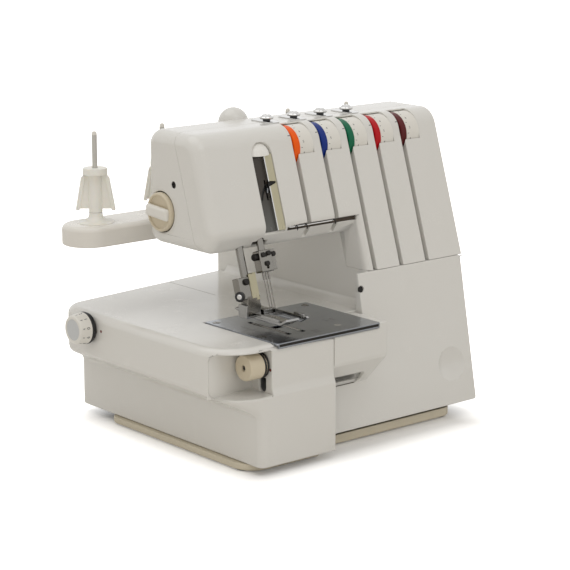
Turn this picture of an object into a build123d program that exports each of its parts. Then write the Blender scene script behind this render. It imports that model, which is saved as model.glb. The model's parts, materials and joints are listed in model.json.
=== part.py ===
from build123d import *
import math
import os

# Sizes are millimetres. X runs right from the bed's lower left face, Y runs back from the bed's
# front face and Z runs up from the table. The finished part is moved so that its origin is the
# bottom centre of its box.

# Casing and bed
casing_right = 287.0
casing_rear = 277.0
casing_wall = 2.6
body_left = 165.0
bed_top = 118.0
bed_left = -45.0
bed_front_upper = 3.0
bed_corner = 41.0
bed_bottom = 8.0
bed_rear_left = 252.0
bed_rear_corner = 24.0
bed_low_corner = 6.0
bed_low_left = -5.0
bed_wall = 3.2
bed_edge_round = 8.0
flare_bottom = 52.0
flare_top = 80.0
sill_bottom = 71.0
sill_top = 79.0
cove_radius = 8.0
cove_rear = 262.0
seam_x = 83.0
seam_gap = 0.5
step_y = 52.0
shelf_z = 182.0
running = 0.05
clear = 0.4

# Arm and tension panel
lean = 0.32
arm_left = -5.0
arm_bottom = 187.0
arm_top = 292.0
arm_rear = 165.0
arm_chin_y = 78.0
arm_chin_z = 204.5
arm_end_round = 11.5
chin_round = 12.0
rear_round = 13.5
panel_depth = 31.0
pillar_round = 8.5
cover_seam_z = 153.5
boss_x = 101.0
boss_y = 170.0
boss_radius = 14.3
boss_top = 301.0
boss_wall = 3.4
casing_split_z = 186.7

# Tension dials
dial_count = 5
dial_first = 107.3
dial_pitch = 33.5
corner_round = 20.0
dial_forward = 2.4
dial_drop = 2.1
dial_radius = 20.2
dial_width = 16.2
dial_shift = 5.0
dial_room = 0.5
ring_width = 6.5
ring_radius = 20.0
window_rear = 3.0
slot_width = 4.8
slot_depth = 15.0
slot_wall = 1.6
rod_radius = 4.0
disc_radius = 12.5

# Needle and presser bars
needle_x = 54.0
needle_y = 50.0
needle_bar_radius = 3.5
needle_pitch = 3.0
needle_radius = 0.5
needle_tip_z = 133.0
presser_x = 34.0
presser_y = 56.0
presser_bar_radius = 3.6
bar_guide_thick = 5.0
needle_bar_low = 170.0
presser_bar_low = 143.0
clamp_z = 176.0
clamp_screw_heights = (170.5, 181.0)
ankle_pin_y = 62.0
ankle_pin_z = 128.0
ankle_pin_radius = 2.0
sole_gap = 0.8
lifter_y = 97.0
lifter_z = 200.0
lifter_pin = 2.5
lifter_swing = 38.0
foot_raise = 8.5

# Needle plate
plate_left = 15.0
plate_right = 137.0
plate_front = 1.6
plate_rear = 106.0
plate_thick = 2.2
plate_lip = 5.0
plate_proud = 0.5
plate_ledge = 6.0
lip_thick = 2.2
screw_radius = 1.9
screw_head = 3.6

# Front cover over the loopers
cover_wall = 2.4
cover_bottom_z = 14.4
cover_bottom_y = 22.6
cover_slope = 0.188
cover_block_right = 147.0
hinge_y = 29.8
hinge_z = 20.5
hinge_rod_radius = 1.6
hinge_lug = 2.65
floor_lip_y = 27.0
dimple_x = 257.0
dimple_z = 58.0
dimple_radius = 33.0
dimple_deep = 4.4
cover_depth = 66.0
wall_front = 52.0

# Drive
shaft_y = 150.0
shaft_z = 70.0
shaft_radius = 6.0
wheel_radius = 40.0
wheel_width = 21.5
wheel_gap = 2.5
pulley_radius = 30.0
motor_y = 225.0
motor_z = 62.0
motor_radius = 32.0
motor_pulley_radius = 9.0
pulley_width = 11.0
belt_thick = 2.0
rocker_y = 122.0
rocker_radius = 5.0
rocker_arm = 30.0
rocker_hub = 8.5
lever_x = 66.5
lever_thick = 1.2
bearing_radius = 10.0
beam_y = 140.0
beam_rear = 158.0
guard_left = 56.0
guard_right = 79.0
guard_low = 203.0
guard_depth = 5.0
guard_back = 0.9

# Loopers, knives and feed
bracket_y = 74.0
lower_looper_x = 70.0
lower_looper_z = 58.0
upper_looper_x = 108.0
upper_looper_z = 66.0
knife_x = 126.0
knife_z = 88.0
looper_pin = 3.5
feed_low = 106.0
feed_bar_shift = 8.25

# Base
deck_z = 18.0
deck_thick = 8.0
deck_front = 70.0
pan_left = -9.0
pan_right = 260.0
pan_front = 30.0
pan_rear = 226.0
pan_bottom = 1.2
pan_top = 10.2
pan_wall = 2.5
pan_inset = 19.0
pan_nose_front = 13.0
pan_nose_right = 76.0
foot_radius = 9.0
foot_inset = 12.0

# Thread guides on top, electrics on the right and lamp below the arm
guide_count = 4
guide_first = 104.6
guide_pitch = 32.8
guide_pegs = (4.0, 12.0)
socket_y = 205.0
socket_z = 45.0
switch_y = 231.0
switch_depth = 5.0
switch_pivot = 1.5
module_half = 12.0
lamp_x = 100.0
lamp_y = 118.0

# Spool stand
stand_left = -62.0
stand_right = 316.0
stand_y = 212.0
stand_depth = 50.0
stand_top = 201.0
pin_count = 5
pin_first = -29.0
pin_pitch = 77.5
pin_radius = 2.6
pin_free_radius = 2.4
pin_top = 286.0
cone_bottom = 211.5
cone_top = 252.0
cone_low_radius = 18.6
cone_high_radius = 11.5
cone_wall = 1.8

# Knobs on the left
length_dial_y = 204.5
length_dial_z = 104.5
length_dial_radius = 15.2
length_dial_tip = 13.6
length_dial_length = 17.0
width_dial_y = 17.0
width_dial_z = 98.0
width_dial_radius = 11.8
width_dial_length = 21.0
pocket_wall_x = 10.0
pocket_floor = 73.0
pocket_roof = 113.0
pocket_radius = 31.0
pocket_round = 7.0
pocket_x = -14.0
pocket_y = 13.0
pressure_y = 142.0
pressure_z = 218.0
pressure_radius = 18.0
pressure_length = 9.0
pressure_stem = 5.0
dial_stem = 4.0
dial_slot = 4.5

lean_deg = math.degrees(math.atan(lean))
lean_cos = math.cos(math.radians(lean_deg))
bed_right = body_left - clear
dial_axis_y = lean * arm_top + corner_round * (1 / lean_cos - lean) - dial_forward
dial_axis_z = arm_top - corner_round - dial_drop
stand_bottom = shelf_z
bar_guide_low = arm_bottom + 16.0
bar_guide_high = arm_top - 34.0
needle_bar_high = arm_top - 14.0
presser_bar_high = arm_top - 16.0
rocker_z = arm_top - 54.0
beam_low = arm_top - 87.0
beam_high = rocker_z + 2.0
guard_top = arm_top - 22.0
guide_y = dial_axis_y + 19.4
column_left = casing_right - 82.0
column_right = casing_right - 52.0
beam_right = casing_right - 11.0
rod_lug_right = casing_right - 15.0
pulley_left = casing_right - 47.0
length_dial_end = bed_left - 1.0 - length_dial_length
origin_x = (length_dial_end + stand_right) / 2
origin_y = casing_rear / 2


def block(x0, x1, y0, y1, z0, z1):
    return Pos((x0 + x1) / 2, (y0 + y1) / 2, (z0 + z1) / 2) * Box(x1 - x0, y1 - y0, z1 - z0)


def rod_x(x0, x1, y, z, radius):
    return Pos((x0 + x1) / 2, y, z) * Rot(0, 90, 0) * Cylinder(radius, x1 - x0)


def rod_y(x, y0, y1, z, radius):
    return Pos(x, (y0 + y1) / 2, z) * Rot(90, 0, 0) * Cylinder(radius, y1 - y0)


def rod_z(x, y, z0, z1, radius):
    return Pos(x, y, (z0 + z1) / 2) * Cylinder(radius, z1 - z0)


def lean_rod(x, y_at_bed, z0, z1, radius):
    """A round bar parallel to the leaning needle bar, between two heights on its axis."""
    y0 = y_at_bed + lean * (z0 - bed_top)
    length = (z1 - z0) / lean_cos
    return Pos(x, y0, z0) * Rot(-lean_deg, 0, 0) * Pos(0, 0, length / 2) * Cylinder(radius, length)


def lean_frame(x, y_at_bed, z):
    return Pos(x, y_at_bed + lean * (z - bed_top), z) * Rot(-lean_deg, 0, 0)


def round_face(corners):
    points = [(corner[0], corner[1]) for corner in corners]
    radii = [corner[2] for corner in corners]
    return make_face(FilletPolyline(*points, radius=radii, close=True))


def profile_x(corners, x0, x1):
    """A YZ outline, each corner with its radius, pushed from x0 to x1."""
    return extrude(Plane.YZ.offset(x0) * round_face(corners), amount=x1 - x0, dir=(1, 0, 0))


def profile_y(corners, y0, y1):
    """An XZ outline pushed from y0 to y1."""
    face = Pos(0, y0, 0) * Rot(90, 0, 0) * round_face(corners)
    return extrude(face, amount=y1 - y0, dir=(0, 1, 0))


def profile_z(corners, z0, z1):
    """An XY outline pushed from z0 to z1."""
    return extrude(Plane.XY.offset(z0) * round_face(corners), amount=z1 - z0, dir=(0, 0, 1))


def ring_x(x0, x1, y, z, outer, inner):
    return rod_x(x0, x1, y, z, outer) - rod_x(x0 - 1, x1 + 1, y, z, inner)


def front_plane_y(z):
    return lean * z


def cover_plane_y(z):
    return cover_bottom_y + cover_slope * (z - cover_bottom_z)


def dial_x(index):
    return dial_first + index * dial_pitch


def pin_x(index):
    return pin_first + index * pin_pitch


# Bed cover
def bed_outline(left, front, corner, rear_corner, inset, right_out):
    """The bed's plan: rounded at its two left corners, stepped at the front cover."""
    rear = casing_rear - inset
    rear_left = rear - (casing_rear - bed_rear_left) * (left - bed_low_left) / (bed_left - bed_low_left)
    return [
        (left + inset, front + inset, max(corner - inset, 0.5)),
        (seam_x - seam_gap + right_out, front + inset, 0),
        (seam_x - seam_gap + right_out, step_y - right_out, 0),
        (bed_right + right_out, step_y - right_out, 0),
        (bed_right + right_out, rear, 0),
        (left + inset, rear_left, max(rear_corner - inset, 0.5)),
    ]


def smooth(t):
    return t * t * (3 - 2 * t)


def bed_section(z, inset, right_out):
    t = smooth(min(max((z - flare_bottom) / (flare_top - flare_bottom), 0.0), 1.0))
    left = bed_low_left + (bed_left - bed_low_left) * t
    front = bed_front_upper * smooth(min(max((z - sill_bottom) / (sill_top - sill_bottom), 0.0), 1.0))
    corner = 7.0 + (bed_corner - 7.0) * t
    rear_corner = bed_low_corner + (bed_rear_corner - bed_low_corner) * t
    return bed_outline(left, front, corner, rear_corner, inset, right_out)


def bed_solid(z0, z1, inset, right_out):
    low = profile_z(bed_section(flare_bottom, inset, right_out), z0, flare_bottom)
    heights = [52.0, 55.0, 58.0, 62.0, 66.0, 71.0, 73.0, 75.0, 77.0, 80.0]
    faces = [Plane.XY.offset(z) * round_face(bed_section(z, inset, right_out)) for z in heights]
    flare = loft(faces, ruled=True)
    high = profile_z(bed_section(flare_top, inset, right_out), flare_top, z1)
    return low + flare + high


def pocket_scoop(grow):
    scoop = rod_z(pocket_x, pocket_y, pocket_floor - grow, pocket_roof + grow, pocket_radius + grow)
    scoop = fillet(scoop.edges().filter_by(GeomType.CIRCLE).sort_by(Axis.Z), pocket_round + grow)
    limit = block(-200, pocket_wall_x + grow, -200, 200, -200, 400)
    return scoop & limit


def bed_cover():
    outer = bed_solid(bed_bottom, bed_top, 0, 0)
    rim = [
        edge for edge in outer.faces().sort_by(Axis.Z)[-1].edges()
        if edge.center().X < bed_left + bed_corner and edge.center().Y > bed_front_upper + 1
    ]
    outer = fillet(rim, bed_edge_round)
    inner = bed_solid(bed_bottom - 5, bed_top - bed_wall, bed_wall, 20)
    inner = inner - pocket_scoop(bed_wall)
    shell = outer - pocket_scoop(0) - inner
    left = plate_left - clear
    right = plate_right + clear
    seat = block(left, right, -20, plate_rear + clear, bed_top + plate_proud - plate_thick, 400)
    window_front = bed_front_upper + bed_wall
    window_rear = plate_rear - plate_ledge
    window = block(plate_left + plate_ledge, right, window_front, window_rear, bed_top - 20, bed_top + 20)
    shell = shell - seat - window
    lip_low = bed_top + plate_proud - plate_lip - clear
    lip_room = block(plate_left - clear, plate_right + 5, -20, plate_front + lip_thick + clear, lip_low, 400)
    shell = shell - lip_room
    for x, y in plate_screw_places():
        shell = shell - rod_z(x, y, bed_top - 20, bed_top + 20, screw_radius + clear)
    x0 = pocket_wall_x - 5
    x1 = pocket_wall_x + 8
    y = width_dial_y
    stem = rod_x(x0, x1, y, width_dial_z, dial_stem + running)
    slot_low = pocket_floor + dial_slot
    slot = block(x0, x1, y - dial_slot, y + dial_slot, slot_low, width_dial_z - 12)
    slot = slot + rod_x(x0, x1, y, slot_low, dial_slot)
    length_stem = rod_x(bed_left - 5, bed_left + 12, length_dial_y, length_dial_z, dial_stem + running)
    cove = block(bed_right - cove_radius, bed_right, wall_front, cove_rear, bed_top, bed_top + cove_radius)
    cove = cove - rod_y(bed_right - cove_radius, 0, 400, bed_top + cove_radius, cove_radius)
    return shell + cove - stem - slot - length_stem


def needle_slots():
    cut = block(needle_x - 4.6, needle_x + 4.6, needle_y - 4.5, needle_y + 3.5, 0, 300)
    for side in (-1, 1):
        x = needle_x + side * feed_bar_shift
        cut = cut + block(x - 2.4, x + 2.4, 21, 79, 0, 300)
    return cut


def plate_screw_places():
    return [(22.0, 97.0), (128.0, 97.0), (22.0, 30.0)]


def needle_plate():
    top = bed_top + plate_proud
    sheet = block(plate_left, plate_right, plate_front, plate_rear, top - plate_thick, top)
    sheet = fillet(sheet.edges().filter_by(Axis.Z), 2.0)
    lip_rear = plate_front + lip_thick
    lip = block(plate_left + 1.5, plate_right - 1.5, plate_front, lip_rear, top - plate_lip, top - 0.5)
    plate = sheet + lip - needle_slots()
    for x, y in plate_screw_places():
        plate = plate - rod_z(x, y, 0, 300, screw_radius + running)
        plate = plate - rod_z(x, y, top - 1.2, 300, screw_head + running)
    return plate


def plate_screws():
    top = bed_top + plate_proud
    made = []
    for x, y in plate_screw_places():
        screw = rod_z(x, y, top - 1.2, top + 0.2, screw_head)
        screw = screw + rod_z(x, y, top - 9, top - 1.2, screw_radius)
        made.append(screw - block(x - 0.5, x + 0.5, y - 5, y + 5, top - 0.5, top + 5))
    return Compound(children=made)


# Casings of the arm and pillar
def arm_corners():
    return [
        (arm_chin_y, arm_bottom, chin_round),
        (front_plane_y(arm_chin_z), arm_chin_z, chin_round),
        (front_plane_y(arm_top), arm_top, corner_round),
        (arm_rear, arm_top, rear_round),
        (arm_rear, arm_bottom, rear_round),
    ]


def arm_inner_corners():
    w = casing_wall
    return [
        (arm_chin_y + w * 0.5, arm_bottom + w, chin_round - w),
        (front_plane_y(arm_chin_z) + w * 1.2, arm_chin_z + w * 0.3, chin_round - w),
        (front_plane_y(arm_top - w) + w / lean_cos, arm_top - w, corner_round - w),
        (arm_rear - w, arm_top - w, rear_round - w),
        (arm_rear - w, arm_bottom + w, rear_round - w),
    ]


def round_pillar(pillar, radius):
    """Rounds the pillar's front left edge."""
    front = pillar.faces().sort_by(Axis.X)[0].edges().sort_by(Axis.Y)
    return fillet(front[0], radius)


def head_solid():
    arm = profile_x(arm_corners(), arm_left, casing_right)
    arm = fillet(arm.faces().sort_by(Axis.X)[0].edges(), arm_end_round)
    high = arm_bottom + 40
    pillar = profile_x([
        (front_plane_y(cover_seam_z - 20), cover_seam_z - 20, 0),
        (front_plane_y(high), high, 0),
        (arm_rear, high, 0),
        (arm_rear, cover_seam_z - 20, 0),
    ], body_left, casing_right)
    return arm + round_pillar(pillar, pillar_round)


def head_cavity():
    w = casing_wall
    arm = profile_x(arm_inner_corners(), arm_left + w, casing_right - w)
    arm = fillet(arm.faces().sort_by(Axis.X)[0].edges(), arm_end_round - w)
    high = arm_bottom + 40
    pillar = profile_x([
        (front_plane_y(cover_seam_z - 25) + w / lean_cos, cover_seam_z - 25, 0),
        (front_plane_y(high) + w / lean_cos, high, 0),
        (arm_rear - w, high, 0),
        (arm_rear - w, cover_seam_z - 25, 0),
    ], body_left + w, casing_right - w)
    return arm + round_pillar(pillar, pillar_round - w)


def front_zone(low_z, depth):
    """Everything in front of the leaning split, above low_z."""
    high = arm_top + 60
    return profile_x([
        (-60, low_z, 0),
        (front_plane_y(low_z) + depth, low_z, 0),
        (front_plane_y(high) + depth, high, 0),
        (-60, high, 0),
    ], -200, 500)


def slot_bottom(index):
    return arm_bottom - 5 if index < 2 else cover_seam_z - 5


def lean_slab(x0, x1, z0, z1, y_from, y_to):
    """A slab parallel to the leaning front, from y_from to y_to behind it."""
    return profile_x([
        (front_plane_y(z0) + y_from, z0, 0),
        (front_plane_y(z1) + y_from, z1, 0),
        (front_plane_y(z1) + y_to, z1, 0),
        (front_plane_y(z0) + y_to, z0, 0),
    ], x0, x1)


def guard_recess(grow, depth):
    """The take-up recess in the arm's face, round at its top."""
    slab = lean_slab(guard_left - grow, guard_right + grow, arm_bottom - 10, guard_top, -20, depth)
    mid = (guard_left + guard_right) / 2
    half = (guard_right - guard_left) / 2 + grow
    head = Pos(mid, front_plane_y(guard_top), guard_top) * Rot(-lean_deg, 0, 0) * Rot(90, 0, 0)
    reach = depth * lean_cos
    head = head * Pos(0, 0, (20 - reach) / 2) * Cylinder(half, 20 + reach)
    return slab + head


def dial_window(x0, x1):
    """The round opening that a tension dial turns in."""
    window = rod_x(x0, x1 + dial_room, dial_axis_y, dial_axis_z, dial_radius + dial_room)
    rear = dial_axis_y + window_rear
    return window + block(x0, x1 + dial_room, dial_axis_y - 9, rear, dial_axis_z + 14, arm_top + 8)


def front_casing():
    zone = front_zone(cover_seam_z + 0.3, panel_depth)
    outer = head_solid()
    shell = outer - head_cavity()
    inside = head_cavity()
    for index in range(dial_count):
        x = dial_x(index)
        half = slot_width / 2 + slot_wall
        rib = lean_slab(x - half, x + half, 140, dial_axis_z, 0, slot_depth + slot_wall)
        shell = shell + (rib & (outer & inside))
    back = guard_recess(slot_wall, guard_depth + guard_back) & inside
    shell = shell + back
    shell = shell & zone
    for index in range(dial_count):
        x = dial_x(index)
        half = slot_width / 2
        shell = shell - lean_slab(x - half, x + half, slot_bottom(index), dial_axis_z, -20, slot_depth)
        shell = shell - dial_window(x - half, x + dial_shift + dial_width)
    shell = shell - rod_x(0, casing_right - casing_wall, dial_axis_y, dial_axis_z, disc_radius + 1.5)
    shell = shell - guard_recess(0, guard_depth)
    shell = shell - lean_slab(lever_x - 1.5, lever_x + lever_thick + 1.5, guard_low, guard_top - 8, 0, 20)
    shell = shell - presser_room()
    return shell


def presser_room():
    """The opening under the head for the needle and presser bars."""
    room = lean_slab(needle_x - 8.5, needle_x + 8.5, arm_bottom - 12, arm_bottom + 7, 4.4, 22)
    room = room + lean_rod(needle_x, needle_y, 165, 207, needle_bar_radius + 0.8)
    return room + lean_rod(presser_x, presser_y, 165, 207, presser_bar_radius + 0.8)


def lower_body():
    solid = profile_x([
        (wall_front, bed_bottom, 0),
        (casing_rear, bed_bottom, 4.0),
        (casing_rear, shelf_z, 10.0),
        (wall_front, shelf_z, 0),
    ], body_left, casing_right)
    return solid


def lower_cavity():
    w = casing_wall
    hollow = block(body_left + w, casing_right - w, 20, casing_rear - w, -20, shelf_z - w)
    rear = casing_rear - bed_wall - 4
    door = block(body_left - 20, body_left + w + 1, step_y, rear, -20, bed_top - bed_wall - 4)
    return hollow + door


def casing_screw_places():
    return [(arm_left, 124.0, 245.0)]


def body_shell():
    """The arm's rear half, the pillar and the lower body in one wall, before they are parted."""
    w = casing_wall
    boss = rod_z(boss_x, boss_y, arm_bottom + 14, boss_top - boss_radius, boss_radius)
    dome = Pos(boss_x, boss_y, boss_top - boss_radius) * Sphere(boss_radius)
    boss = boss + (dome & block(-200, 400, -50, 400, boss_top - boss_radius, 400))
    outer = head_solid() + lower_body() + boss
    shell = outer - head_cavity() - lower_cavity()
    hollow = rod_z(boss_x, boss_y, 0, boss_top - boss_radius, boss_radius - boss_wall)
    hollow = hollow + Pos(boss_x, boss_y, boss_top - boss_radius) * Sphere(boss_radius - boss_wall)
    hollow = hollow & block(-200, 400, -50, 400, arm_bottom + 14 + boss_wall, 400)
    post = boss - block(-200, 400, -50, arm_rear - w, 0, 400)
    shell = shell + (post - hollow) - (hollow & boss)
    shell = shell - front_zone(cover_seam_z + 0.3, panel_depth + 0.3)
    seam_top = cover_seam_z + 0.3
    shell = shell - block(body_left + w, 400, -60, cover_depth + 2, 0, seam_top)
    shell = shell - block(-200, 400, -60, wall_front, 0, seam_top)
    for index in range(dial_count):
        x = dial_x(index)
        half = slot_width / 2
        shell = shell - dial_window(x - half, x + dial_shift + dial_width)
    shell = shell - rod_x(arm_left - 5, arm_left + 12, pressure_y, pressure_z, pressure_stem + running)
    shell = shell - (rod_x(arm_left - 5, arm_left + 1.2, pressure_y, pressure_z, pressure_radius + 1.0))
    shell = shell - rod_x(casing_right - 10, casing_right + 10, shaft_y, shaft_z, shaft_radius + 2)
    shell = shell - block(casing_right - 10, casing_right + 5, socket_y - 13, switch_y + 10,
                          socket_z - module_half - 0.2, socket_z + module_half + 0.2)
    shell = shell - block(presser_x - 5, presser_x + 5, arm_rear - 20, arm_rear + 5, lifter_z - 6, lifter_z + 58)
    shell = shell - block(lamp_x - 12, lamp_x + 12, lamp_y - 7, lamp_y + 7, arm_bottom - 5, arm_bottom + 6)
    shell = shell - presser_room()
    for x, y, z in casing_screw_places():
        shell = shell - rod_x(x - 3, x + 8, y, z, 3.2 + running)
    shell = shell - guard_recess(slot_wall, guard_depth + guard_back)
    for index in range(guide_count):
        for dy in guide_pegs:
            shell = shell - rod_z(guide_x(index), guide_y + dy, arm_top - 6, arm_top + 5, 1.3)
    return shell


def rear_casing():
    return body_shell() & block(-200, 500, -100, 500, casing_split_z + 0.3, 500)


def side_casing():
    return body_shell() & block(-200, 500, -100, 500, -50, casing_split_z)


def guide_x(index):
    return guide_first + index * guide_pitch


def thread_guides():
    made = []
    for index in range(guide_count):
        x = guide_x(index)
        sheet = block(x - 6.5, x + 6.5, guide_y - 14.0, guide_y + 18.0, arm_top, arm_top + 1.0)
        sheet = fillet(sheet.edges().filter_by(Axis.Z), 5.0)
        stem = rod_z(x, guide_y, arm_top + 1.0, arm_top + 3.0, 2.0)
        cap = rod_z(x, guide_y, arm_top + 3.0, arm_top + 6.5, 6.5)
        cap = fillet(cap.edges().sort_by(Axis.Z)[-1], 2.6)
        guide = sheet + stem + cap
        for dy in guide_pegs:
            guide = guide + rod_z(x, guide_y + dy, arm_top - casing_wall, arm_top, 1.25)
        made.append(guide)
    return Compound(children=made)


def take_up_guard():
    d = guard_depth
    sheet = lean_slab(guard_left + clear, guard_right - clear, guard_low, guard_top, d - 0.9, d - 0.1)
    flange = lean_slab(guard_right - 11, guard_right - clear, guard_low, guard_top, 0.8, 1.6)
    wall = lean_slab(guard_right - clear - 0.8, guard_right - clear, guard_low, guard_top, 0.8, d - 0.1)
    guard = sheet + flange + wall
    guard = guard - lean_slab(lever_x - 0.9, lever_x + lever_thick + 0.9, guard_low + 2, guard_top - 12, -5, 20)
    return guard


# Tension units
def tension_rod():
    return rod_x(dial_x(0) - 29, rod_lug_right + 2, dial_axis_y, dial_axis_z, rod_radius)


def tension_dial(index):
    x0 = dial_x(index) + dial_shift
    wheel = rod_x(x0, x0 + dial_width, dial_axis_y, dial_axis_z, dial_radius)
    wheel = fillet(wheel.edges().filter_by(GeomType.CIRCLE), 0.8)
    wheel = wheel - rod_x(x0 + 3, x0 + dial_width + 1, dial_axis_y, dial_axis_z, dial_radius - 4)
    hub = rod_x(x0 + 1, x0 + dial_width, dial_axis_y, dial_axis_z, 9.0)
    bore = rod_x(x0 - 5, x0 + 40, dial_axis_y, dial_axis_z, rod_radius + running)
    return wheel + hub - bore


def colour_ring(index):
    x0 = dial_x(index) + dial_shift - ring_width
    ring = rod_x(x0, x0 + ring_width, dial_axis_y, dial_axis_z, ring_radius)
    ring = fillet(ring.edges().filter_by(GeomType.CIRCLE).sort_by(Axis.X)[0], 1.2)
    return ring - rod_x(x0 - 5, x0 + 40, dial_axis_y, dial_axis_z, rod_radius + running)


def tension_discs():
    made = []
    bore = rod_radius + running
    for index in range(dial_count):
        x = dial_x(index) - slot_width / 2 - 0.6
        for right in (x, x - 1.2):
            made.append(ring_x(right - 0.8, right, dial_axis_y, dial_axis_z, disc_radius, bore))
    return Compound(children=made)


def tension_springs():
    made = []
    for index in range(dial_count):
        x = dial_x(index) + dial_shift + dial_width + 0.4
        made.append(ring_x(x, x + 5.5, dial_axis_y, dial_axis_z, 7.5, rod_radius + running))
    return Compound(children=made)


# Front cover over the loopers
def cover_shape(inset, back):
    """The front cover's outer volume, or its hollow when inset."""
    top = cover_seam_z - inset
    bottom = cover_bottom_z + inset
    panel = profile_x([
        (cover_plane_y(bottom) + inset, bottom, 0),
        (cover_plane_y(top) + inset, top, 0),
        (back, top, 0),
        (back, bottom, 0),
    ], body_left - 14.0 + inset, casing_right - inset)
    low = profile_x([
        (cover_plane_y(bottom) + inset, bottom, 0),
        (cover_plane_y(66) + inset, 66, 0),
        (back, 66, 0),
        (back, bottom, 0),
    ], seam_x - (5 if inset else 0), casing_right - inset)
    bed_part = profile_x([
        (bed_front_upper + inset, 86.0, 8.0 if not inset else 6.0),
        (bed_front_upper + inset, bed_top - plate_lip - inset, 0),
        (48.0 if not inset else back, bed_top - plate_lip - inset, 0),
        (48.0 if not inset else back, 54.0, 0),
        (cover_plane_y(56.0) + 1.0 + inset, 56.0 + inset, 0),
    ], seam_x - (5 if inset else 0), cover_block_right - inset)
    return panel + low + bed_part


def looper_cover():
    depth = cover_depth
    outer = cover_shape(0, depth)
    strip_left = plate_right + clear
    strip = block(strip_left, cover_block_right, bed_front_upper, 48.0, bed_top - plate_lip - 1, bed_top)
    outer = outer + strip
    right = [
        edge for edge in outer.faces().sort_by(Axis.X)[-1].edges()
        if edge.center().Y < depth - 1
    ]
    outer = fillet(right, 5.0)
    shell = outer - cover_shape(cover_wall, depth + 30)
    limit = block(body_left + 3, 400, 0, 200, 0, 400) + block(0, 400, 0, step_y - 0.6, 0, 400)
    shell = shell & limit
    top_relief = block(-10, casing_right - 6, cover_plane_y(cover_seam_z) + 6.0, 100, cover_seam_z - 8, 200)
    floor_top = cover_bottom_z + cover_wall + 1
    floor_relief = block(seam_x - 10, casing_right - cover_wall, floor_lip_y, 100, 0, floor_top)
    shell = shell - top_relief - floor_relief
    for x in hinge_places():
        knuckle = rod_x(x, x + 12, hinge_y, hinge_z, 3.6)
        web = block(x, x + 12, cover_plane_y(hinge_z) + 0.6, hinge_y, hinge_z - 3.0, hinge_z + 3.0)
        shell = shell + knuckle + web
    centre_y = cover_plane_y(dimple_z) + dimple_deep - dimple_radius
    dish = Pos(dimple_x, centre_y, dimple_z) * Sphere(dimple_radius)
    back = Pos(dimple_x, centre_y, dimple_z) * Sphere(dimple_radius + cover_wall)
    shell = shell + (back & cover_shape(0.6, depth)) - dish
    bore_right = casing_right - cover_wall - 0.5
    shell = shell - rod_x(seam_x, bore_right, hinge_y, hinge_z, hinge_rod_radius + running)
    shell = shell - rod_y(153.5, 30, 70, 139.0, 3.2)
    return shell


def hinge_places():
    return [118.0, 246.0]


def cover_hinge_rod():
    return rod_x(hinge_places()[0] - 14, hinge_places()[1] + 12 + 14, hinge_y, hinge_z, hinge_rod_radius)


# Base and frame
def foot_places():
    left = pan_left + foot_inset
    right = pan_right - foot_inset
    front = pan_front + foot_inset
    return [(left, pan_nose_front + foot_inset + 8.0), (left, pan_rear - foot_inset), (right, front), (right, pan_rear - foot_inset)]


def rubber_feet():
    made = []
    for x, y in foot_places():
        made.append(fillet(rod_z(x, y, 0, pan_bottom, foot_radius).edges().sort_by(Axis.Z)[0], 0.8))
    return Compound(children=made)


def pan_plan(inset, left):
    return [
        (left + inset, pan_nose_front + inset, 22.0 - inset),
        (pan_nose_right - inset, pan_nose_front + inset, 4.0),
        (pan_nose_right - inset, pan_front + inset, 4.0),
        (pan_right - inset, pan_front + inset, 12.0 - inset),
        (pan_right - inset, pan_rear - inset, 12.0 - inset),
        (left + inset, pan_rear - inset, 12.0 - inset),
    ]


def base_pan():
    rim = bed_bottom - clear
    tray = profile_z(pan_plan(0, pan_left), pan_bottom, rim)
    tray = chamfer(tray.faces().sort_by(Axis.Z)[0].edges(), 1.2)
    tray = tray + profile_z(pan_plan(0, pan_left + pan_inset), rim - 1, pan_top)
    tray = tray - profile_z(pan_plan(pan_wall, pan_left + pan_inset), pan_bottom + pan_wall, pan_top + 5)
    for x in (pan_left + pan_inset + 22.0, pan_right - 22.0):
        for y in (pan_front + 60, pan_rear - 9.0):
            tray = tray + rod_z(x, y, pan_bottom + 1, deck_z, 7.0)
    return tray


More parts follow.
